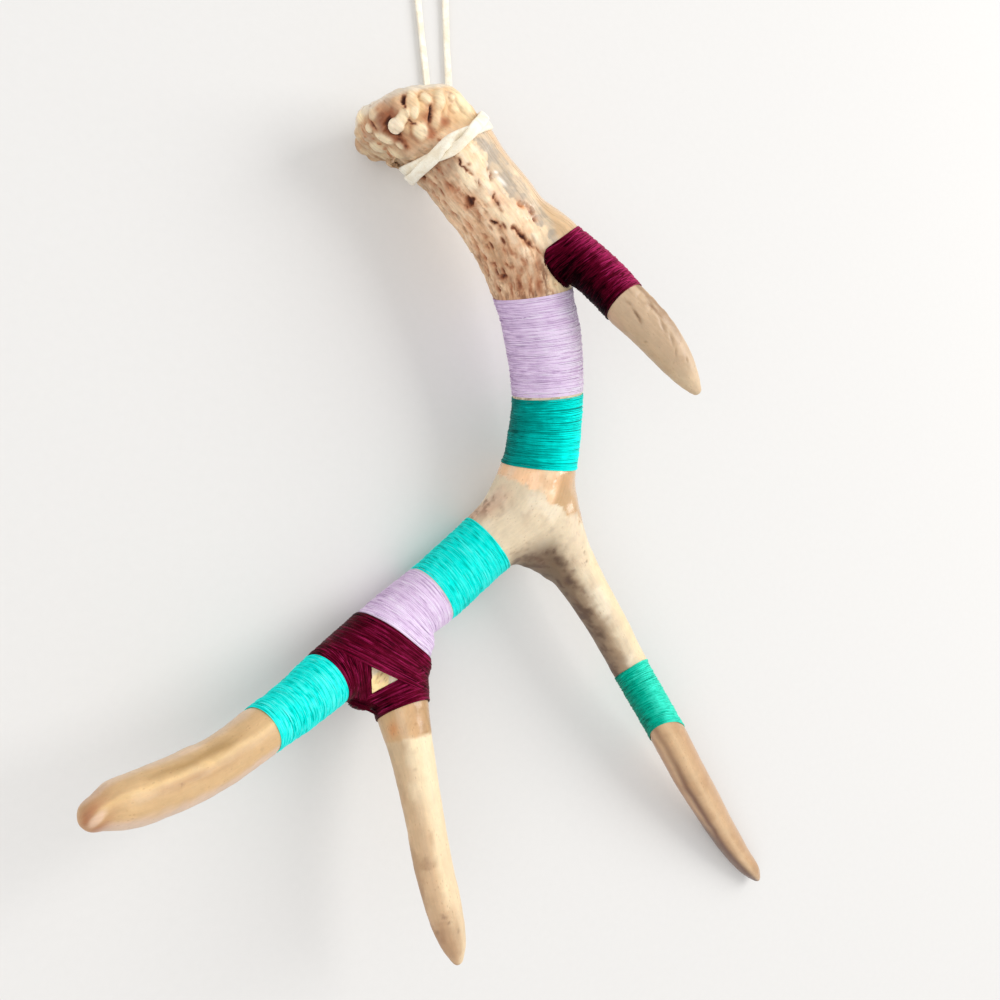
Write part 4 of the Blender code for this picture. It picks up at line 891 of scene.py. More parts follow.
def paint_fore_tine(v, n):
    h, colour, dark, roughness, *rest = lower_piece(v, n, "fore")
    blotch, small = rest[4], rest[5]
    s, angle, out, r = LINES["fore"].where(v)
    p = LINES["fore"].at(s)[0]
    left = ((v - p) @ (-RIGHT)) / np.maximum(r, 1)
    down = ramp(s + 6 * blotch, 44, 92)[:, None]
    cloud = layered(v / 6, 117, 4)
    colour = mixed(np.repeat(srgb(238, 214, 178)[None], len(v), 0) * (1 - down) + srgb(216, 182, 142) * down, srgb(206, 172, 134), ramp(left + 0.3 * blotch, -0.3, 0.4) * 0.85)
    colour = mixed(colour, srgb(176, 140, 104), ramp(left + 0.6 * cloud, 0.25, 0.95) * (0.35 + 0.45 * down[:, 0]))
    # painted highlight down the right of the tine
    colour = mixed(colour, srgb(244, 224, 186), np.exp(-(((left + 0.42 + 0.12 * blotch) / 0.22) ** 2)) * 0.7)
    colour = mixed(colour, srgb(170, 132, 98), ramp(cloud + 0.4 * small, 0.15, 0.8) * (0.18 + 0.5 * ramp(s, 60, 108)) * ramp(left, -0.6, -0.1))
    colour = mixed(colour, srgb(168, 128, 94), ramp(s + 7 * cloud, 96, 112) * 0.6 * ramp(s, 128, 120))
    # painted highlight along the right edge
    colour = mixed(colour, srgb(238, 218, 182), ramp(left, -0.5, -0.8) * 0.6)
    h = 0.15 * rest[6] + 0.05 * small
    for px, py, length, width, turn_by, deep, black in [
        (443, 917, 1.6, 0.9, 330, 0.4, 0.8), (437, 933, 1.5, 0.9, 60, 0.4, 0.6), (459, 931, 1.2, 0.7, 300, 0.3, 0.6),
        (415, 770, 0.8, 0.6, 0, 0.2, 0.4), (427, 899, 0.8, 0.6, 0, 0.2, 0.5), (449, 923, 0.9, 0.6, 0, 0.2, 0.6),
    ]:
        got = stamp(v, px, py, length, width, turn_by, "soft")
        h -= deep * got
        dark = np.maximum(dark, black * got)
    colour = mixed(colour, srgb(120, 90, 66), dark)
    drip = s + 0.5 * layered(v / 3.0, 133, 3) - 0.05 * (v - p) @ RIGHT
    varnish = ramp(drip, 40.0, 38.6)
    tan = mixed(np.repeat(srgb(206, 164, 118)[None], len(v), 0), srgb(208, 138, 80), stamp(v, 393, 730, 4.5, 3.2, 80, "soft") * 0.9)
    tan = mixed(tan, srgb(216, 180, 136), np.exp(-(((left + 0.15 + 0.15 * small) / 0.2) ** 2)) * 0.5)
    tan = mixed(tan, srgb(172, 134, 88), ramp(left, -0.35, -0.7) * (0.5 + 0.4 * ramp(small, -0.2, 0.3)))
    tan = mixed(tan, srgb(160, 114, 70), np.clip(1 - np.abs(layered(v / 2.6, 119, 2)) / 0.05, 0, 1) * ramp(left, 0.2, -0.3) * 0.55)
    colour = colour * (1 - varnish[:, None]) + tan * varnish[:, None]
    h += 0.14 * varnish
    roughness = roughness * (1 - varnish) + 0.32 * varnish
    return h, colour, dark, roughness, 0.4 * varnish, s, angle, r


def paint_brow(v, n):
    s, angle, out, r = LINES["brow"].where(v)
    p = LINES["brow"].at(s)[0]
    upper = ((v - p) @ (0.72 * RIGHT + 0.69 * UP)) / np.maximum(r, 1)
    flow = np.stack([s / 14, np.cos(angle) * r / 2.6, np.sin(angle) * r / 2.6], 1)
    streak = layered(flow, 141, 4)
    lumps = layered(v / 7, 143, 3)
    small = layered(v / 2.4, 145, 3)
    rough_part = ramp(upper + 0.35 * streak, 0.02, 0.5) * ramp(s + 10 * upper, LINES["brow"].length - 6, LINES["brow"].length - 26)
    colour = np.repeat(srgb(196, 168, 137)[None], len(v), 0)
    colour = mixed(colour, srgb(182, 152, 122), ramp(lumps, 0.0, 0.6) * 0.6)
    colour = mixed(colour, srgb(150, 116, 82), rough_part * (0.55 + 0.45 * ramp(streak, -0.2, 0.4)) * ramp(s, LINES["brow"].length - 14, 62) * 0.9)
    colour = mixed(colour, srgb(206, 176, 138), rough_part * ramp(streak, 0.1, -0.5) * 0.6)
    # a paler upper edge: painted highlight
    colour = mixed(colour, srgb(218, 192, 156), ramp(upper, 0.80, 0.95) * 0.6)
    colour = mixed(colour, srgb(222, 198, 164), ramp(s, LINES["brow"].length - 20, LINES["brow"].length - 4) * 0.6)
    colour = mixed(colour, srgb(196, 160, 126), ramp(upper, -0.5, -0.9) * 0.5)
    h = 0.22 * lumps + 0.30 * rough_part * (streak + 0.5 * small) + 0.9 * stamp(v, 668, 314, 9, 3, 305, "swell")
    dark = np.zeros(len(v))
    for px, py, length, width, turn_by, deep, black in [
        (637, 315, 4.2, 0.8, 305, 0.7, 0.9), (640, 321, 2.4, 0.7, 295, 0.5, 0.7), (629, 303, 3.0, 0.9, 320, 0.4, 0.5), (652, 305, 5.0, 1.2, 315, 0.4, 0.5),
        (645.5, 342, 0.9, 0.7, 0, 0.2, 0.5), (663, 326, 4.0, 1.1, 300, 0.5, 0.45), (672, 340, 3.6, 1.0, 295, 0.5, 0.4), (676, 352, 3.0, 0.7, 280, 0.4, 0.35),
        (687, 360, 1.6, 0.6, 285, 0.4, 0.5), (680, 331, 4.2, 0.7, 300, 0.5, 0.5),
    ]:
        got = stamp(v, px, py, length, width, turn_by, "soft")
        h -= deep * got
        dark = np.maximum(dark, black * got)
    colour = mixed(colour, srgb(126, 92, 60), dark)
    return h, colour, dark, 0.42 + 0.05 * streak, np.zeros(len(v)), s, angle, r


def finish_bone(name, nodes, v, q, h, colour, dark, roughness, extra, material):
    n = normals_of(v, q)
    v = v + h[:, None] * n
    v[:, 2] = np.maximum(v[:, 2], 0.02)
    obj = new_object(name, v, q)
    bm = bmesh.new()
    bm.from_mesh(obj.data)
    rim = [e for e in bm.edges if e.is_boundary]
    if rim:
        caps = bmesh.ops.holes_fill(bm, edges=rim, sides=0)["faces"]
        bmesh.ops.triangulate(bm, faces=caps)
    bmesh.ops.recalc_face_normals(bm, faces=bm.faces)
    bm.to_mesh(obj.data)
    bm.free()
    mesh = obj.data
    made = mesh.color_attributes.new("stain", "FLOAT_COLOR", "POINT")
    made.data.foreach_set("color", np.concatenate([np.clip(colour, 0, 1), np.ones((len(v), 1))], 1).astype(np.float32).ravel())
    for key, values in {"dark": dark, "rough": np.clip(roughness, 0.15, 0.95), **extra}.items():
        if np.ndim(values) == 2:
            mesh.attributes.new(key, "FLOAT_VECTOR", "POINT").data.foreach_set("vector", values.astype(np.float32).ravel())
        else:
            mesh.attributes.new(key, "FLOAT", "POINT").data.foreach_set("value", np.asarray(values, np.float32))
    mesh.materials.append(material)
    mesh.shade_smooth()
    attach(obj, "root")
    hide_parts(*nodes)
    return obj, v


# ------------------------------------------------------------------ materials
class Nodes:
    """A short way to write a material's nodes."""

    def __init__(self, name):
        self.material = bpy.data.materials.new(name)
        self.material.use_nodes = True
        self.tree = self.material.node_tree
        self.tree.nodes.clear()
        self.out = self.tree.nodes.new("ShaderNodeOutputMaterial")
        self.shader = self.tree.nodes.new("ShaderNodeBsdfPrincipled")
        self.tree.links.new(self.shader.outputs[0], self.out.inputs[0])

    def put(self, socket, value):
        if isinstance(value, bpy.types.NodeSocket):
            self.tree.links.new(value, socket)
        elif value is not None:
            if socket.type == "RGBA" and not isinstance(value, (int, float)):
                value = (*list(value)[:3], 1.0)
            socket.default_value = value

    def attribute(self, name, output="Fac"):
        node = self.tree.nodes.new("ShaderNodeAttribute")
        node.attribute_name = name
        return node.outputs[output]

    def math(self, operation, a, b=None, c=None, clamp=False):
        node = self.tree.nodes.new("ShaderNodeMath")
        node.operation, node.use_clamp = operation, clamp
        for socket, value in zip(node.inputs, (a, b, c)):
            self.put(socket, value)
        return node.outputs[0]

    def vector(self, operation, a, b=None):
        node = self.tree.nodes.new("ShaderNodeVectorMath")
        node.operation = operation
        self.put(node.inputs[0], a)
        self.put(node.inputs[1], b)
        return node.outputs[0]

    def noise(self, vector, scale, detail=3.0, rough=0.55, distortion=0.0):
        node = self.tree.nodes.new("ShaderNodeTexNoise")
        self.put(node.inputs["Vector"], vector)
        self.put(node.inputs["Scale"], scale)
        self.put(node.inputs["Detail"], detail)
        self.put(node.inputs["Roughness"], rough)
        self.put(node.inputs["Distortion"], distortion)
        return node.outputs["Fac"]

    def voronoi(self, vector, scale, feature="F1"):
        node = self.tree.nodes.new("ShaderNodeTexVoronoi")
        node.feature = feature
        self.put(node.inputs["Vector"], vector)
        self.put(node.inputs["Scale"], scale)
        return node.outputs["Distance"]

    def range(self, value, a, b, c=0.0, d=1.0, smooth=True):
        node = self.tree.nodes.new("ShaderNodeMapRange")
        node.interpolation_type = "SMOOTHSTEP" if smooth else "LINEAR"
        for socket, x in zip(node.inputs, (value, a, b, c, d)):
            self.put(socket, x)
        return node.outputs[0]

    def mix(self, amount, a, b, blend="MIX"):
        node = self.tree.nodes.new("ShaderNodeMix")
        node.data_type, node.blend_type = "RGBA", blend
        self.put(node.inputs[0], amount)
        self.put(node.inputs[6], a)
        self.put(node.inputs[7], b)
        return node.outputs[2]

    def place(self):
        return self.tree.nodes.new("ShaderNodeTexCoord").outputs["Object"]

    def bump(self, height, strength, distance, normal=None):
        node = self.tree.nodes.new("ShaderNodeBump")
        node.inputs["Strength"].default_value = strength
        node.inputs["Distance"].default_value = distance
        self.put(node.inputs["Height"], height)
        if normal is not None:
            self.put(node.inputs["Normal"], normal)
        return node.outputs[0]

    def set(self, **values):
        for key, value in values.items():
            self.put(self.shader.inputs[key.replace("_", " ")], value)


def bone_material(name, grain, pores):
    """Antler: stained bone with fine grain along its length and tiny pores."""
    m = Nodes(name)
    stain, flow, dark, rough = m.attribute("stain", "Color"), m.attribute("flow", "Vector"), m.attribute("dark"), m.attribute("rough")
    streak = m.noise(m.vector("MULTIPLY", flow, (120.0, 900.0, 900.0)), 1.0, 4.0, 0.6)
    speck = m.noise(m.place(), 1600.0, 3.0, 0.6)
    cloud = m.noise(m.place(), 170.0, 4.0, 0.6, 0.4)
    pit = m.range(m.voronoi(m.vector("MULTIPLY", flow, (420.0, 900.0, 900.0)), 1.0), 0.10, 0.30, 1.0, 0.0)
    pit = m.math("MULTIPLY", pit, m.range(cloud, 0.42, 0.62))
    colour = m.mix(1.0, stain, m.range(streak, 0.25, 0.75, 1.0 - grain, 1.0 + grain, False), "MULTIPLY")
    colour = m.mix(1.0, colour, m.range(cloud, 0.3, 0.7, 0.92, 1.06, False), "MULTIPLY")
    colour = m.mix(m.math("MULTIPLY", pit, pores), colour, srgb(120, 78, 48))
    height = m.math("ADD", m.math("MULTIPLY", streak, 0.6), m.math("MULTIPLY", speck, 0.35))
    height = m.math("SUBTRACT", height, m.math("MULTIPLY", pit, pores * 1.5))
    m.set(
        Base_Color=colour,
        Roughness=m.math("ADD", rough, m.range(streak, 0.3, 0.7, -0.05, 0.07, False)),
        Normal=m.bump(height, 0.35 + 0.4 * pores, 0.00025),
        IOR=1.5, Coat_Weight=m.attribute("wet"), Coat_Roughness=0.12,
        Subsurface_Weight=0.08, Subsurface_Radius=(0.9, 0.5, 0.3), Subsurface_Scale=0.0015,
    )
    return m.material


def thread_material(name, deep, mid, bright, silk):
    """Silky sewing thread: the tint runs from deep to bright from thread to thread and along each; where the tint
    carries painted light and shade, the deep and bright ends also serve as the thread's shaded and lit colours.
    """
    m = Nodes(name)
    tint, run = m.attribute("tint"), m.attribute("run", "Vector")
    fibre = m.noise(m.vector("MULTIPLY", run, (900.0, 5000.0, 1.0)), 1.0, 3.0, 0.6)
    cloud = m.noise(m.place(), 260.0, 3.0, 0.6)
    tint = m.math("ADD", tint, m.range(cloud, 0.3, 0.7, -0.08, 0.08, False))
    tint = m.math("ADD", tint, m.range(fibre, 0.3, 0.7, -0.08, 0.08, False))
    colour = m.mix(m.range(tint, 0.0, 0.5, 0.0, 1.0, False), deep, mid)
    colour = m.mix(m.range(tint, 0.5, 1.0, 0.0, 1.0, False), colour, bright)
    m.set(
        Base_Color=colour, Metallic=silk, Roughness=m.range(fibre, 0.3, 0.7, 0.36, 0.48, False), Normal=m.bump(fibre, 0.35, 0.00008),
        Specular_IOR_Level=0.12, Specular_Tint=bright,
    )
    return m.material


def suede_material(name, pale, shade):
    m = Nodes(name)
    nap = m.noise(m.place(), 2400.0, 4.0, 0.65)
    cloud = m.noise(m.place(), 210.0, 4.0, 0.6, 0.6)
    edge = m.attribute("tint")
    colour = m.mix(m.range(cloud, 0.35, 0.7), pale, shade)
    colour = m.mix(m.range(edge, 0.45, 1.0), colour, srgb(176, 150, 112))
    colour = m.mix(1.0, colour, m.range(nap, 0.3, 0.7, 0.9, 1.06, False), "MULTIPLY")
    m.set(
        Base_Color=colour, Roughness=m.range(nap, 0.3, 0.7, 0.78, 0.95, False), Normal=m.bump(m.math("ADD", nap, m.math("MULTIPLY", cloud, 0.8)), 0.4, 0.00018),
        Specular_IOR_Level=0.2, Sheen_Weight=0.3, Sheen_Roughness=0.5,
    )
    return m.material


# ------------------------------------------------------------------ the bone's pieces
def flow_of(s, angle, r):
    return np.stack([s, np.cos(angle) * r, np.sin(angle) * r], 1) * MM


def build_bone():
    antler_rough = bone_material("antler_rough", 0.20, 0.3)
    antler_bare = bone_material("antler_bare", 0.07, 0.25)
    made = {}
    for number, name, nodes, paint, material in (
        (0, "antler_burr", ["burr_beam"], upper_piece, antler_rough),
        (1, "antler_brow_tine", ["brow_tine"], paint_brow, antler_bare),
        (2, "antler_middle", ["mid_beam", "back_tine"], middle_piece, antler_bare),
        (6, "antler_back_tine", ["back_tine"], middle_piece, antler_bare),
        (3, "antler_fore_beam", ["fore_beam"], paint_fork, antler_bare),
        (4, "antler_fore_tine", ["fore_tine"], paint_fore_tine, antler_bare),
        (5, "antler_tip", ["beam_tip"], paint_tip, antler_bare),
    ):
        v, q = piece_arrays(number)
        n = normals_of(v, q)
        h, colour, dark, rough, wet, s, angle, r = paint(v, n)
        h = h * (1 - wrapped(v))
        if number == 3:
            open_, bump = window_of(v)
            h = 0.45 * open_ + 1.3 * bump
        obj, v2 = finish_bone(name, nodes, v, q, h, colour, dark, rough, {"flow": flow_of(s, angle, r), "wet": wet}, material)
        made[name] = (v2, q)
        print(name, len(v2), len(q) * 2)
    return made


BONE = build_bone()


# ------------------------------------------------------------------ loops of thread round the bone
class Body:
    """Part of a bone mesh, to be cut by planes."""

    def __init__(self, v, q, centre, reach):
        keep = np.linalg.norm(v[q].mean(1) - centre, axis=1) < reach
        used, inverse = np.unique(q[keep].ravel(), return_inverse=True)
        self.v, self.q = v[used], inverse.reshape(-1, 4)

    def loops(self, origin, normal):
        d = (self.v - origin) @ normal
        up = d[self.q] > 0
        crossing = up != np.roll(up, -1, axis=1)
        links = {}
        for row in np.nonzero(crossing.any(1))[0]:
            ks = np.nonzero(crossing[row])[0]
            keys = [tuple(sorted((int(self.q[row, k]), int(self.q[row, (k + 1) % 4])))) for k in ks]
            for a, b in zip(keys[::2], keys[1::2]):
                links.setdefault(a, []).append(b)
                links.setdefault(b, []).append(a)
        found, seen = [], set()
        for start in links:
            if start in seen:
                continue
            chain, key = [], start
            while key is not None and key not in seen:
                seen.add(key)
                chain.append(key)
                key = next((k for k in links[key] if k not in seen), None)
            if len(chain) > 8:
                pair = np.array(chain)
                da, db = d[pair[:, 0]], d[pair[:, 1]]
                share = (da / (da - db))[:, None]
                found.append(self.v[pair[:, 0]] * (1 - share) + self.v[pair[:, 1]] * share)
        return found


def hull_of(points):
    """Convex hull in the plane, anticlockwise."""
    order = points[np.lexsort((points[:, 1], points[:, 0]))]
    out = []
    for pts in (order, order[::-1]):
        half = []
        for p in pts:
            while len(half) > 1 and (half[-1][0] - half[-2][0]) * (p[1] - half[-2][1]) <= (half[-1][1] - half[-2][1]) * (p[0] - half[-2][0]):
                half.pop()
            half.append(p)
        out += half[:-1]
    return np.array(out)


def tight_loop(body, origin, normal, inside, count, limit=None):
    """A taut loop round the body in a plane: points, and the direction out at each. Its start faces +Z."""
    normal = unit(normal)
    e1 = unit(np.array([0, 0, 1.0]) - normal * normal[2])
    e2 = np.cross(normal, e1)
    centre = inside - normal * ((inside - origin) @ normal)
    best, score = None, 1e9
    for loop in body.loops(origin, normal):
        flat = np.stack([(loop - centre) @ e1, (loop - centre) @ e2], 1)
        a, b = flat, np.roll(flat, -1, axis=0)
        turns = np.sum(np.arctan2(a[:, 0] * b[:, 1] - a[:, 1] * b[:, 0], np.sum(a * b, 1))) / (2 * np.pi)
        value = np.linalg.norm(flat.mean(0)) - (1000 if abs(turns) > 0.5 else 0)
        if value < score:
            best, score = flat, value
    if best is None:
        return None
    if limit is not None:
        far = np.linalg.norm(best, axis=1, keepdims=True)
        best = best * np.minimum(1, limit / np.maximum(far, 1e-6))
    hull = hull_of(best)
    start = np.argmax(np.cos(np.arctan2(hull[:, 1], hull[:, 0])))
    hull = np.roll(hull, -start, axis=0)
    closed = np.concatenate([hull, hull[:1]])
    at = np.concatenate([[0], np.cumsum(np.linalg.norm(np.diff(closed, axis=0), axis=1))])
    want = np.linspace(0, at[-1], count, endpoint=False)
    ring = np.stack([np.interp(want, at, closed[:, k]) for k in (0, 1)], 1)
    ring = 0.5 * ring + 0.25 * (np.roll(ring, 1, 0) + np.roll(ring, -1, 0))
    t = unit(np.roll(ring, -1, 0) - np.roll(ring, 1, 0))
    out = np.stack([t[:, 1], -t[:, 0]], 1)
    lift = lambda flat: flat[:, :1] * e1 + flat[:, 1:] * e2
    return centre + lift(ring), lift(out), at[-1]


class Strands:
    """Thin closed tubes gathered into one mesh, each vertex with a tint and its place along the thread."""

    def __init__(self, sides=5):
        self.sides, self.v, self.q, self.tint, self.run, self.base = sides, [], [], [], [], 0

    def tube(self, points, out, across, radius, tint, closed=True, flat=1.0):
        n, k = len(points), self.sides
        radius = np.broadcast_to(radius, n)
        a = 2 * np.pi * np.arange(k) / k
        ring = points[:, None] + radius[:, None, None] * (
            flat * np.cos(a)[None, :, None] * out[:, None] + np.sin(a)[None, :, None] * across[:, None]
        )
        step = np.linalg.norm(np.diff(points, axis=0), axis=1)
        run = np.concatenate([[0], np.cumsum(step)]) + 40.0 * self.base % 977
        i, j = np.arange(n if closed else n - 1)[:, None], np.arange(k)[None]
        i2, j2 = (i + 1) % n, (j + 1) % k
        quads = np.stack([i * k + j, i * k + j2, i2 * k + j2, i2 * k + j], -1).reshape(-1, 4)
        verts = ring.reshape(-1, 3)
        tints, runs = np.repeat(np.broadcast_to(tint, n), k), np.repeat(run, k)
        self.v.append(verts)
        self.q.append(quads + self.base)
        self.tint.append(tints)
        self.run.append(np.stack([runs, np.tile(a, n) * 0.3, np.zeros(n * k)], 1) * MM)
        self.base += len(verts)
        if not closed:
            for end, flip in ((0, False), (n - 1, True)):
                tip = points[end] + (points[end] - points[1 if end == 0 else n - 2]) * 0.2
                fan = np.stack([np.arange(k), (np.arange(k) + 1) % k], 1) + end * k + self.base - len(verts) - (1 if flip else 0)
                extra = self.base
                self.v.append(tip[None])
                self.tint.append(tints[:1])
                self.run.append(np.zeros((1, 3)))
                self.base += 1
                tri = np.stack([fan[:, 0], fan[:, 1], np.full(k, extra)], 1)
                self.tris = getattr(self, "tris", [])
                self.tris.append(tri if flip else tri[:, ::-1])

    def sheet(self, v, q, tint):
        self.v.append(v)
        self.q.append(q + self.base)
        self.tint.append(np.full(len(v), tint))
        self.run.append(v * MM * 0.3)
        self.base += len(v)

    def make(self, name, material, nodes):
        faces = [np.concatenate(self.q)] + ([np.concatenate(self.tris)] if getattr(self, "tris", None) else [])
        obj = new_object(name, np.concatenate(self.v), faces)
        bm = bmesh.new()
        bm.from_mesh(obj.data)
        bmesh.ops.recalc_face_normals(bm, faces=bm.faces)
        bm.to_mesh(obj.data)
        bm.free()
        obj.data.attributes.new("tint", "FLOAT", "POINT").data.foreach_set("value", np.concatenate(self.tint).astype(np.float32))
        obj.data.attributes.new("run", "FLOAT_VECTOR", "POINT").data.foreach_set("vector", np.concatenate(self.run).astype(np.float32).ravel())
        obj.data.materials.append(material)
        obj.data.shade_smooth()
        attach(obj, "root")
        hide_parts(*nodes)
        print(name, sum(len(f) * (2 if f.shape[1] == 4 else 1) for f in faces))
        return obj


def underlay(mask, over=0.22, under=0.4):
    """A thin closed skin over some of the bone's faces."""
    q = Q[mask]
    used, inverse = np.unique(q.ravel(), return_inverse=True)
    q = inverse.reshape(-1, 4)
    v = V[used]
    n = WHOLE_NORMALS[used]
    outer, inner = v + n * over, v - n * under
    m = len(v)
    edges = np.concatenate([q[:, [k, (k + 1) % 4]] for k in range(4)])
    keys = np.sort(edges, axis=1)
    _, index, counts = np.unique(keys[:, 0].astype(np.int64) * m + keys[:, 1], return_index=True, return_counts=True)
    rim = edges[index[counts == 1]]
    sides = np.stack([rim[:, 1], rim[:, 0], rim[:, 0] + m, rim[:, 1] + m], 1)
    return np.concatenate([outer, inner]), np.concatenate([q, q[:, ::-1] + m, sides])


WHOLE_NORMALS = normals_of(V, Q)
THREAD = 0.23


def shades(dice, u_count, key, s, seed, tone, painted_dashes, spread=0.04):
    """The tint along one thread: its own, its bundle's, and short lengths that are darker or lighter, painted shade of
    the gaps between threads and painted highlights.
    """
    u = np.arange(u_count) / u_count
    circle = np.stack([np.cos(2 * np.pi * u) * 1.6, np.sin(2 * np.pi * u) * 1.6, np.full(u_count, key * 3.7)], 1)
    shade = tone + spread * dice.normal() + 0.05 * wander(np.array([s * 0.45]), seed + 8)[0] + 0.10 * noise(circle * 0.9 + 9, seed + 7)
    # darker lengths: painted shade in the gaps between threads; lighter lengths: painted highlights
    shade -= painted_dashes * ramp(noise(circle * 1.9 + 4, seed + 9), 0.30, 0.55)
    shade += 0.7 * painted_dashes * ramp(noise(circle * 2.1 + 14, seed + 10), 0.34, 0.6)
    return np.clip(shade, 0, 1), circle


def root_edge(y):
    """The left edge of the brow binding at each height in the picture."""
    return np.interp(y, [236, 242, 248, 255, 263, 270, 278, 285, 292], [557, 551.5, 547, 544.5, 544.5, 547.5, 553, 560.5, 571])


def tucked(p):
    """Keeps the root of the brow binding within its rounded edge."""
    x, y = pictured(p)
    short = np.clip(root_edge(y) - x, 0, 14) * ((p - EYE) @ AHEAD) / 500 * math.tan(FIELD / 2)
    return p + short[:, None] * RIGHT


def wind(strands, body, name, pitch, seed, lift=0.34, loose=0.008, crossing=0.5, tilt=0.05, count=48, tone=0.5, painted_dashes=0.3, painted_light=0.0, limit=None):
    """Turns of thread side by side between the two end planes of a binding, and some that wander over the others."""
    branch, s0, s1, (o0, n0), (o1, n1) = CUTS[name]
    line = LINES[branch]
    dice = np.random.default_rng(seed)
    n = int((s1 - s0 - 2 * THREAD) / pitch)
    edge = THREAD / (s1 - s0)
    rows = []
    for u in np.linspace(edge, 1 - edge, n + 1):
        free = min(1.0, u * n * pitch / 1.5, (1 - u) * n * pitch / 1.5)
        rows.append((u + dice.normal(0, 0.06) * free / (s1 - s0), dice.normal(0, loose, 2) * free, lift + dice.uniform(-0.04, 0.05), 0))
    for k in range(int(n * crossing)):
        u = dice.uniform(0.02, 0.98)
        reach = min(tilt, 0.8 * min(u, 1 - u) * (s1 - s0) / line.at(s0 + (s1 - s0) * u)[1])
        angle = dice.uniform(0, 2 * np.pi)
        rows.append((u, reach * dice.uniform(0.2, 1.0) * np.array([math.cos(angle), math.sin(angle)]), lift + dice.uniform(0.10, 0.24), 1))
    # lit: the direction the painted light on the threads comes from
    lit = unit(0.85 * RIGHT + 0.2 * UP - 0.3 * AHEAD) if limit is None else unit(0.6 * RIGHT + 0.8 * UP - 0.05 * AHEAD)
    for k, (u, lean, height, top) in enumerate(rows):
        s = s0 + (s1 - s0) * u
        c, r, e1, e2, _ = line.at(s)
        normal = unit(unit(n0 * (1 - u) + n1 * u) + lean[0] * e1 + lean[1] * e2)
        origin = o0 * (1 - u) + o1 * u
        got = tight_loop(body, origin, normal, c, count, None if limit is None else limit(s) * r)
        if got is None:
            continue
        p, out, _ = got
        free = 1.0 if top else min(1.0, 0.5 * u * (s1 - s0), 0.5 * (1 - u) * (s1 - s0))
        tint, circle = shades(dice, count, k, s, seed, tone + 0.03 * top, painted_dashes, 0.04 if limit is None else 0.09)
        # threads facing the light are painted brighter and those facing away darker: painted light and shade
        tint = np.clip(tint + painted_light * (out @ lit), 0, 1)
        slide = 0.13 * free * noise(circle, seed + 5)
        rise = (0.13 if top else 0.05) * noise(circle * 1.7, seed + 6)
        p = p + out * (height + rise)[:, None] + normal * slide[:, None]
        if limit is not None:
            p = tucked(p)
        strands.tube(p, out, np.repeat(normal[None], count, 0), THREAD * dice.uniform(0.9, 1.1), tint)


def span_mask(name, inset=1.1):
    branch, s0, s1, (o0, n0), (o1, n1) = CUTS[name]
    s, _, out, r = away[branch]
    inner = np.minimum((centres - o0) @ n0, (o1 - centres) @ n1) > inset
    return inner & (s > s0 - 12) & (s < s1 + 12) & (out / np.maximum(r, 1) < 1.35) & (owner == names.index(branch))


BINDINGS = [  # piece, colour, pitch, seed, crossings, tilt, painted_dashes, painted_light, limit; painted_light brightens the threads facing the light and darkens those facing away, painted light and shade
    ("thread_beam_lavender", "lavender", 0.42, 201, 0.45, 0.06, 0.24, 0.20, None),
    ("thread_beam_teal", "teal", 0.42, 211, 0.45, 0.07, 0.20, 0.48, None),
    ("thread_branch_turquoise", "turquoise", 0.42, 221, 0.5, 0.08, 0.34, 0.08, None),
    ("thread_branch_lavender", "lavender", 0.42, 231, 0.5, 0.08, 0.24, 0.10, None),
    ("thread_tip_turquoise", "turquoise", 0.42, 241, 0.5, 0.10, 0.34, 0.10, None),
    ("thread_tine_teal", "teal_tine", 0.42, 251, 0.5, 0.12, 0.20, 0.42, None),
    ("thread_brow_maroon", "maroon", 0.42, 261, 0.9, 0.20, 0.30, 0.58, lambda s: 1.13 + 0.30 * ramp(s, 36, 25)),
]
NODE_OF = {
    "thread_beam_lavender": "beam_wrap_lavender", "thread_beam_teal": "beam_wrap_teal", "thread_branch_turquoise": "branch_wrap_turquoise",
    "thread_branch_lavender": "branch_wrap_lavender", "thread_tip_turquoise": "tip_wrap_turquoise", "thread_tine_teal": "tine_wrap_teal",
    "thread_brow_maroon": "brow_wrap_maroon",
}
THREADS = {
    "lavender": thread_material("thread_lavender", srgb(172, 138, 184), srgb(234, 213, 241), srgb(248, 243, 255), 0.02),
    "teal": thread_material("thread_teal", srgb(0, 104, 98), srgb(0, 178, 170), srgb(0, 255, 246), 0.25),
    "teal_tine": thread_material("thread_teal_tine", srgb(0, 112, 94), srgb(0, 186, 158), srgb(70, 240, 214), 0.2),
    "turquoise": thread_material("thread_turquoise", srgb(0, 178, 166), srgb(0, 244, 236), srgb(110, 255, 250), 0.10),
    "maroon": thread_material("thread_maroon", srgb(12, 0, 3), srgb(96, 7, 34), srgb(180, 42, 102), 0.2),
}


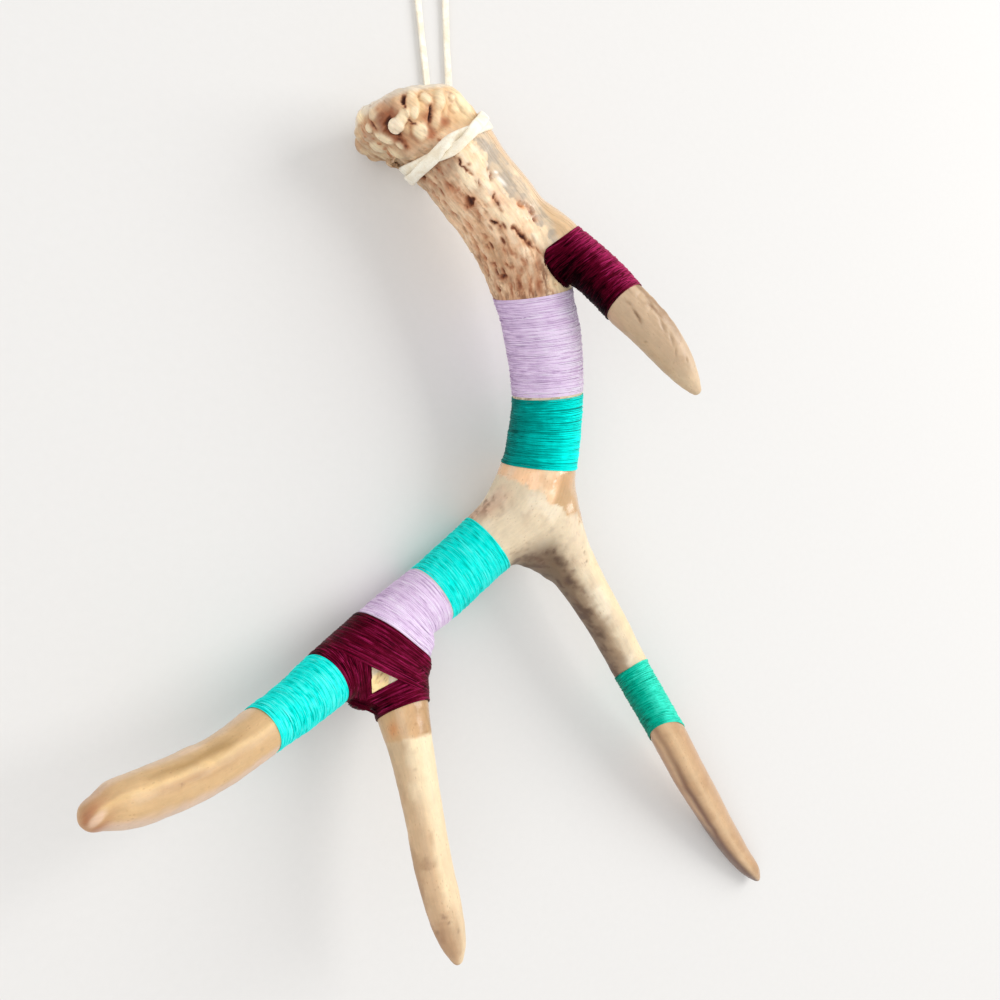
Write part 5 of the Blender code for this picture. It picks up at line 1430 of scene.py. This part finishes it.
def edge_bundle(strands, places, rows, step, lift, seed, tone=0.3):
    """Threads side by side along a line of places in the picture, lying on the bone; each row is a little further right."""
    dice = np.random.default_rng(seed)
    for k in range(rows):
        pts, outs = [], []
        for px, py in places:
            c, n = on_bone(px + step[0] * k, py + step[1] * k)
            if c is not None:
                pts.append(c + n * (lift + dice.uniform(-0.08, 0.10) + 0.35 * min(k, 3) / 3))
                outs.append(n)
        if len(pts) < 4:
            continue
        pts[0], pts[-1] = pts[0] - outs[0] * 1.3, pts[-1] - outs[-1] * 1.3
        line, length = route(pts)
        p = line(np.linspace(0, length, 26))
        p = p + 0.10 * np.stack([noise(p / 2.5 + 7 * k, seed + j) for j in range(3)], 1)
        n = unit(np.stack([np.interp(np.linspace(0, 1, 26), np.linspace(0, 1, len(outs)), np.array(outs)[:, j]) for j in range(3)], 1))
        t = unit(np.gradient(p, axis=0))
        n = unit(n - t * np.sum(n * t, 1)[:, None])
        tint = np.clip(tone + 0.10 * dice.normal() + 0.10 * noise(p / 3, seed + 5), 0, 1)
        strands.tube(p, n, np.cross(t, n), THREAD * dice.uniform(0.85, 1.1), tint, closed=False)


def build_bindings():
    for name, colour, pitch, seed, crossing, tilt, painted_dashes, painted_light, limit in BINDINGS:
        branch, s0, s1, _, _ = CUTS[name]
        middle, r, *_ = LINES[branch].at((s0 + s1) / 2)
        body = Body(V, Q, middle, (s1 - s0) / 2 + 38)
        strands = Strands(4)
        mask = span_mask(name)
        if colour == "maroon":
            root_s, _, root_out, root_r = away["brow"]
            x, y = pictured(centres)
            facing = np.sum(normals_of(V, Q)[Q].mean(1) * (centres - EYE), 1) < 0
            o0, n0 = CUTS[name][3]
            mask |= (root_s > 12) & (root_s < 34) & (root_out / root_r < 1.6) & ((centres - o0) @ n0 > 0.9) & (x > root_edge(y) + 2) & facing
        v, q = underlay(mask)
        # a skin of thread colour under the turns with a low tint: painted shade in the gaps between them
        strands.sheet(v, q, 0.25)
        wind(strands, body, name, pitch, seed, crossing=crossing, tilt=tilt, tone=0.5 if limit is None else 0.42, painted_dashes=painted_dashes, painted_light=painted_light, limit=limit)
        if colour == "maroon":
            # their low tone is painted shade along the lower left of the binding
            edge_bundle(strands, [(554, 245), (549, 248.5), (546, 255), (546, 262), (549, 270), (554.5, 278), (561, 284.5), (568, 290), (574, 295)], 9, (0.8, -0.55), 0.5, 271, 0.14)
            edge_bundle(strands, [(549, 268), (556, 278), (563, 285), (570, 290), (577, 296)], 8, (0.7, -0.8), 0.7, 272, 0.10)
        strands.make(name, THREADS[colour], [NODE_OF[name]])


build_bindings()


def picture_plane(px1, py1, px2, py2, depth_at):
    """The plane through the eye and a line in the picture; its origin lies at a given point's depth."""
    a, b = sight(px1, py1), sight(px2, py2)
    normal = unit(np.cross(a, b))
    origin = depth_at - normal * ((depth_at - EYE) @ normal)
    return origin, normal


def inside_triangle(points, corners):
    """Whether each point, seen from the eye, is within a triangle of the picture."""
    x, y = pictured(points)
    sign = []
    for (ax, ay), (bx, by) in zip(corners, corners[1:] + corners[:1]):
        sign.append((bx - ax) * (y - ay) - (by - ay) * (x - ax) > 0)
    sign = np.array(sign)
    return sign.all(0) | (~sign).all(0)


def build_fork():
    beam, fore = LINES["beam"], LINES["fore"]
    near, far, tine = CUTS["thread_fork_near"][3], CUTS["thread_fork_far"][3], CUTS["thread_fork_tine"][3]
    body = Body(V, Q, beam.at(276.0)[0], 58)
    families = [
        # first plane, last plane, a point inside the loops at each end, turns, height, seed
        (far, picture_plane(369.8, 636, 373.4, 714, beam.at(283.0)[0]), beam.at(295.2)[0], beam.at(281.0)[0], 92, 0.34, 301),
        (tine, picture_plane(350, 705.0, 430, 663.5, fore.at(14.0)[0]), fore.at(27.0)[0], fore.at(12.0)[0], 82, 0.56, 302),
        (near, picture_plane(320, 642, 430, 694, beam.at(272.0)[0]), beam.at(260.5)[0], beam.at(273.0)[0], 116, 0.80, 303),
    ]
    strands = Strands(4)
    s, _, _, _ = away["beam"]
    fs = away["fore"][0]
    mask = (on["beam"] & ((centres - near[0]) @ near[1] > 2.2) & (s < 294.1)) | (on["fore"] & ((tine[0] - centres) @ tine[1] > 1.1))
    mask &= np.linalg.norm(centres - beam.at(276.0)[0], axis=1) < 50
    facing = np.sum(normals_of(V, Q)[Q].mean(1) * (centres - EYE), 1) < 0
    window = [(370.5, 662), (398.5, 679.5), (370.5, 696)]
    mask &= ~(inside_triangle(centres, window) & facing)
    v, q = underlay(mask)
    # a skin of thread colour under the turns with a low tint: painted shade in the gaps between them
    strands.sheet(v, q, 0.12)
    # lit: the direction the painted light on the threads comes from
    lit = unit(0.85 * RIGHT + 0.2 * UP - 0.3 * AHEAD)
    for (o_a, n_a), (o_b, n_b), in_a, in_b, turns, height, seed in families:
        dice = np.random.default_rng(seed)
        if n_a @ n_b < 0:
            n_b = -n_b
        for k in range(int(turns * 1.2)):
            top = k >= turns
            u = dice.uniform(0.02, 0.98) if top else (k + 0.5) / turns
            free = min(1, 8 * u, 8 * (1 - u))
            wobble = dice.normal(0, 0.055 if top else 0.005, 2) * free
            normal = unit(n_a * (1 - u) + n_b * u)
            origin = o_a * (1 - u) + o_b * u
            inside = in_a * (1 - u) + in_b * u
            e1 = unit(np.cross(normal, [0.3, 0.2, 0.9]))
            normal = unit(normal + wobble[0] * e1 + wobble[1] * np.cross(normal, e1))
            got = tight_loop(body, origin, normal, inside, 58)
            if got is None:
                continue
            p, out, _ = got
            tint, circle = shades(dice, 58, k, k * 0.3, seed, 0.40, 0.34, 0.13)
            # threads facing the light are painted brighter and those facing away darker: painted light and shade
            tint = np.clip(tint + 0.14 * (out @ lit), 0, 1)
            rise = height + (0.18 if top else 0) + dice.uniform(-0.05, 0.06) + (0.13 if top else 0.06) * noise(circle * 1.7, seed + 6)
            if height < 0.7:  # these dive under the pale binding beside them
                rise = rise - 1.3 * np.clip(0.8 - (p - near[0]) @ near[1], 0, 1)
            p = p + out * rise[:, None] + normal * (0.16 * free * noise(circle, seed + 5))[:, None]
            strands.tube(p, out, np.repeat(normal[None], 58, 0), THREAD * dice.uniform(0.88, 1.1), tint)
    # its low tone is painted shade in the crotch of the fork
    edge_bundle(strands, [(346, 703), (352, 706), (359, 708.5), (366, 711), (373, 714), (378, 719)], 20, (0.15, -0.5), 0.5, 305, 0.2)
    strands.make("thread_fork_maroon", THREADS["maroon"], ["fork_wrap_maroon"])


build_fork()

# ------------------------------------------------------------------ the lashing and the lace
SUEDE = suede_material("suede", srgb(255, 250, 234), srgb(242, 230, 206))


def ribbon(strands, points, out, width, thick, tint, closed, sides=12, round_x=0.45, round_y=0.75):
    """A flat strap with rounded edges along a line; out is the direction its flat face looks."""
    n = len(points)
    if closed:
        t = unit(np.roll(points, -1, 0) - np.roll(points, 1, 0))
    else:
        t = unit(np.gradient(points, axis=0))
    out = unit(out - t * np.sum(out * t, 1)[:, None])
    across = np.cross(t, out)
    a = 2 * np.pi * np.arange(sides) / sides
    x = np.sign(np.cos(a)) * np.abs(np.cos(a)) ** round_x
    y = np.sign(np.sin(a)) * np.abs(np.sin(a)) ** round_y
    width, thick = np.broadcast_to(width, n), np.broadcast_to(thick, n)
    ring = points[:, None] + (x[None] * width[:, None] / 2)[..., None] * across[:, None] + (y[None] * thick[:, None] / 2)[..., None] * out[:, None]
    i, j = np.arange(n if closed else n - 1)[:, None], np.arange(sides)[None]
    i2, j2 = (i + 1) % n, (j + 1) % sides
    quads = np.stack([i * sides + j, i * sides + j2, i2 * sides + j2, i2 * sides + j], -1).reshape(-1, 4)
    base = strands.base
    tints = np.broadcast_to(tint, (n, sides)) if np.ndim(tint) == 2 else np.repeat(np.broadcast_to(tint, n)[:, None], sides, 1)
    strands.v.append(ring.reshape(-1, 3))
    strands.q.append(quads + base)
    strands.tint.append(tints.ravel())
    strands.run.append(ring.reshape(-1, 3) * MM)
    strands.base += n * sides
    if not closed:
        strands.tris = getattr(strands, "tris", [])
        for end in (0, n - 1):
            extra = strands.base
            strands.v.append(points[end][None])
            strands.tint.append(tints[end][:1])
            strands.run.append(points[end][None] * MM)
            strands.base += 1
            k = np.arange(sides)
            strands.tris.append(np.stack([base + end * sides + k, base + end * sides + (k + 1) % sides, np.full(sides, extra)], 1))


def build_lashing():
    """Two straps twisted loosely round each other and drawn tight round the neck."""
    bone_v, bone_q = BONE["antler_burr"]
    centre, r, _, _, t = LINES["beam"].at(19.5)
    origin, normal = picture_plane(410, 174, 487, 120, centre)
    if normal @ t < 0:
        normal = -normal
    body = Body(bone_v, bone_q, centre, 40)
    p, out, around = tight_loop(body, origin, normal, centre, 360)
    for _ in range(30):
        p = 0.5 * p + 0.25 * (np.roll(p, 1, 0) + np.roll(p, -1, 0))
    # where round the loop each place in the picture lies, for the near half
    d = p - EYE
    depth = d @ AHEAD
    x = 500 + 500 * (d @ RIGHT) / depth / math.tan(FIELD / 2)
    near_side = np.sum(out * d, 1) < 0
    index = np.arange(360)
    left = index[near_side][np.argmin(x[near_side])]
    right = index[near_side][np.argmax(x[near_side])]
    step = 1 if near_side[(left + (right - left) % 360 // 2) % 360] else -1
    span = (right - left) * step % 360
    u = ((index - left) * step % 360) / span  # 0 at the left, 1 at the right, more behind
    last = 360 / span
    turn_by = np.interp(u, [0, 0.22, 0.46, 0.60, 0.76, 1.0, 1.2, last - 0.3, last], [0.02, 0.12, 0.50, 1.0, 1.50, 1.94, 2.0, 2.0, 2.02]) * np.pi
    print("lashing round", round(around, 1), "mm, near part", span)
    strands = Strands()
    for k in range(2):
        phase = turn_by + np.pi * k
        slide = (1.9 + 0.15 * np.cos(5 * u)) * np.cos(phase)
        rise = 1.45 + 0.75 * np.sin(phase)
        roll = 0.5 * np.sin(2 * phase) + 0.16 * np.sin(9 * u + 2 * k) + 0.10
        line = p + normal * slide[:, None] + out * rise[:, None]
        for _ in range(4):
            line = 0.5 * line + 0.25 * (np.roll(line, 1, 0) + np.roll(line, -1, 0))
        face = out * np.cos(roll)[:, None] + normal * np.sin(roll)[:, None]
        wide = 4.3 + 0.7 * ramp(u, 0.32, 0.12) + 0.7 * np.abs(np.sin(phase)) * (np.sin(phase) > 0) + 0.25 * wander(u * 9.0, 311 + k)
        ribbon(strands, line, face, wide, 1.9 + 0.15 * wander(u * 7.0, 321 + k), 0.0, True, 14, 0.6, 0.85)
    strands.make("suede_lashing", SUEDE, ["neck_lashing"])


build_lashing()


def build_lace():
    rows = [(x + SHIFT[0] + 2.0 * min(1.0, max(0.0, (y - 138) / 18)), y + SHIFT[1], z) for x, y, z in LACE]
    sample, length = route(rows)
    s = np.linspace(0, length, 260)
    p = sample(s)
    t = unit(np.gradient(p, axis=0))
    up = np.array([0, 0, 1.0])
    side = unit(np.cross(t, up))
    out = np.cross(side, t)
    # lies on one edge and turns over a little on its way
    roll = 0.55 * np.sin(s / 24 + 0.5) + 0.25 * np.sin(s / 9.0)
    face = out * np.cos(roll)[:, None] + side * np.sin(roll)[:, None]
    strands = Strands()
    a = 2 * np.pi * np.arange(14) / 14
    edge = np.clip(-np.cos(a), 0, 1)[None] * (0.55 + 0.25 * np.sin(s / 17)[:, None])
    ribbon(strands, p, face, 3.0 + 0.15 * np.sin(s / 6), 1.25, edge, False, 14)
    obj = strands.make("suede_lace", SUEDE, ["hanging_lace"])
    return length


print("lace", build_lace())

# ------------------------------------------------------------------ floor and light
def floor_material():
    m = Nodes("pale_floor")
    fine = m.noise(m.place(), 300.0, 4.0, 0.6)
    # the floor glows a little, painted light that lifts the shadows on it
    m.set(Base_Color=m.mix(fine, (0.60, 0.597, 0.59, 1.0), (0.63, 0.626, 0.62, 1.0)), Emission_Color=(1.0, 0.98, 0.965, 1.0), Emission_Strength=0.13, Roughness=m.range(fine, 0.3, 0.7, 0.8, 0.92, False),
          Normal=m.bump(fine, 0.05, 0.0003), Specular_IOR_Level=0.2)
    return m.material


floor = new_object("floor", np.array([(-3000, -3000, 0), (3000, -3000, 0), (3000, 3000, 0), (-3000, 3000, 0)]), np.array([(0, 1, 2, 3)]), False)
floor.data.materials.append(floor_material())


def lamp(name, at, size, power, colour):
    light = bpy.data.lights.new(name, "AREA")
    light.shape, light.size, light.size_y = "RECTANGLE", size[0], size[1]
    light.energy, light.color = power, colour
    obj = bpy.data.objects.new(name, light)
    bpy.context.scene.collection.objects.link(obj)
    obj.location = at
    obj.rotation_mode = "QUATERNION"
    obj.rotation_quaternion = (Vector((0, 0, 0.02)) - Vector(at)).to_track_quat("-Z", "Y")


lamp("key", (1.60, 0.70, 1.36), (1.4, 1.4), 31, (1.0, 0.985, 0.96))
lamp("fill", (-1.3, -0.3, 1.7), (1.5, 1.5), 9.5, (1.0, 0.99, 0.98))

world = bpy.data.worlds.new("studio")
world.use_nodes = True
sky = world.node_tree.nodes["Background"]
sky.inputs["Color"].default_value = (1.0, 0.99, 0.98, 1.0)
sky.inputs["Strength"].default_value = 0.78
bpy.context.scene.world = world
bpy.context.scene.view_settings.view_transform = "Standard"
bpy.context.scene.view_settings.look = "None"
bpy.context.scene.view_settings.exposure = 0.0
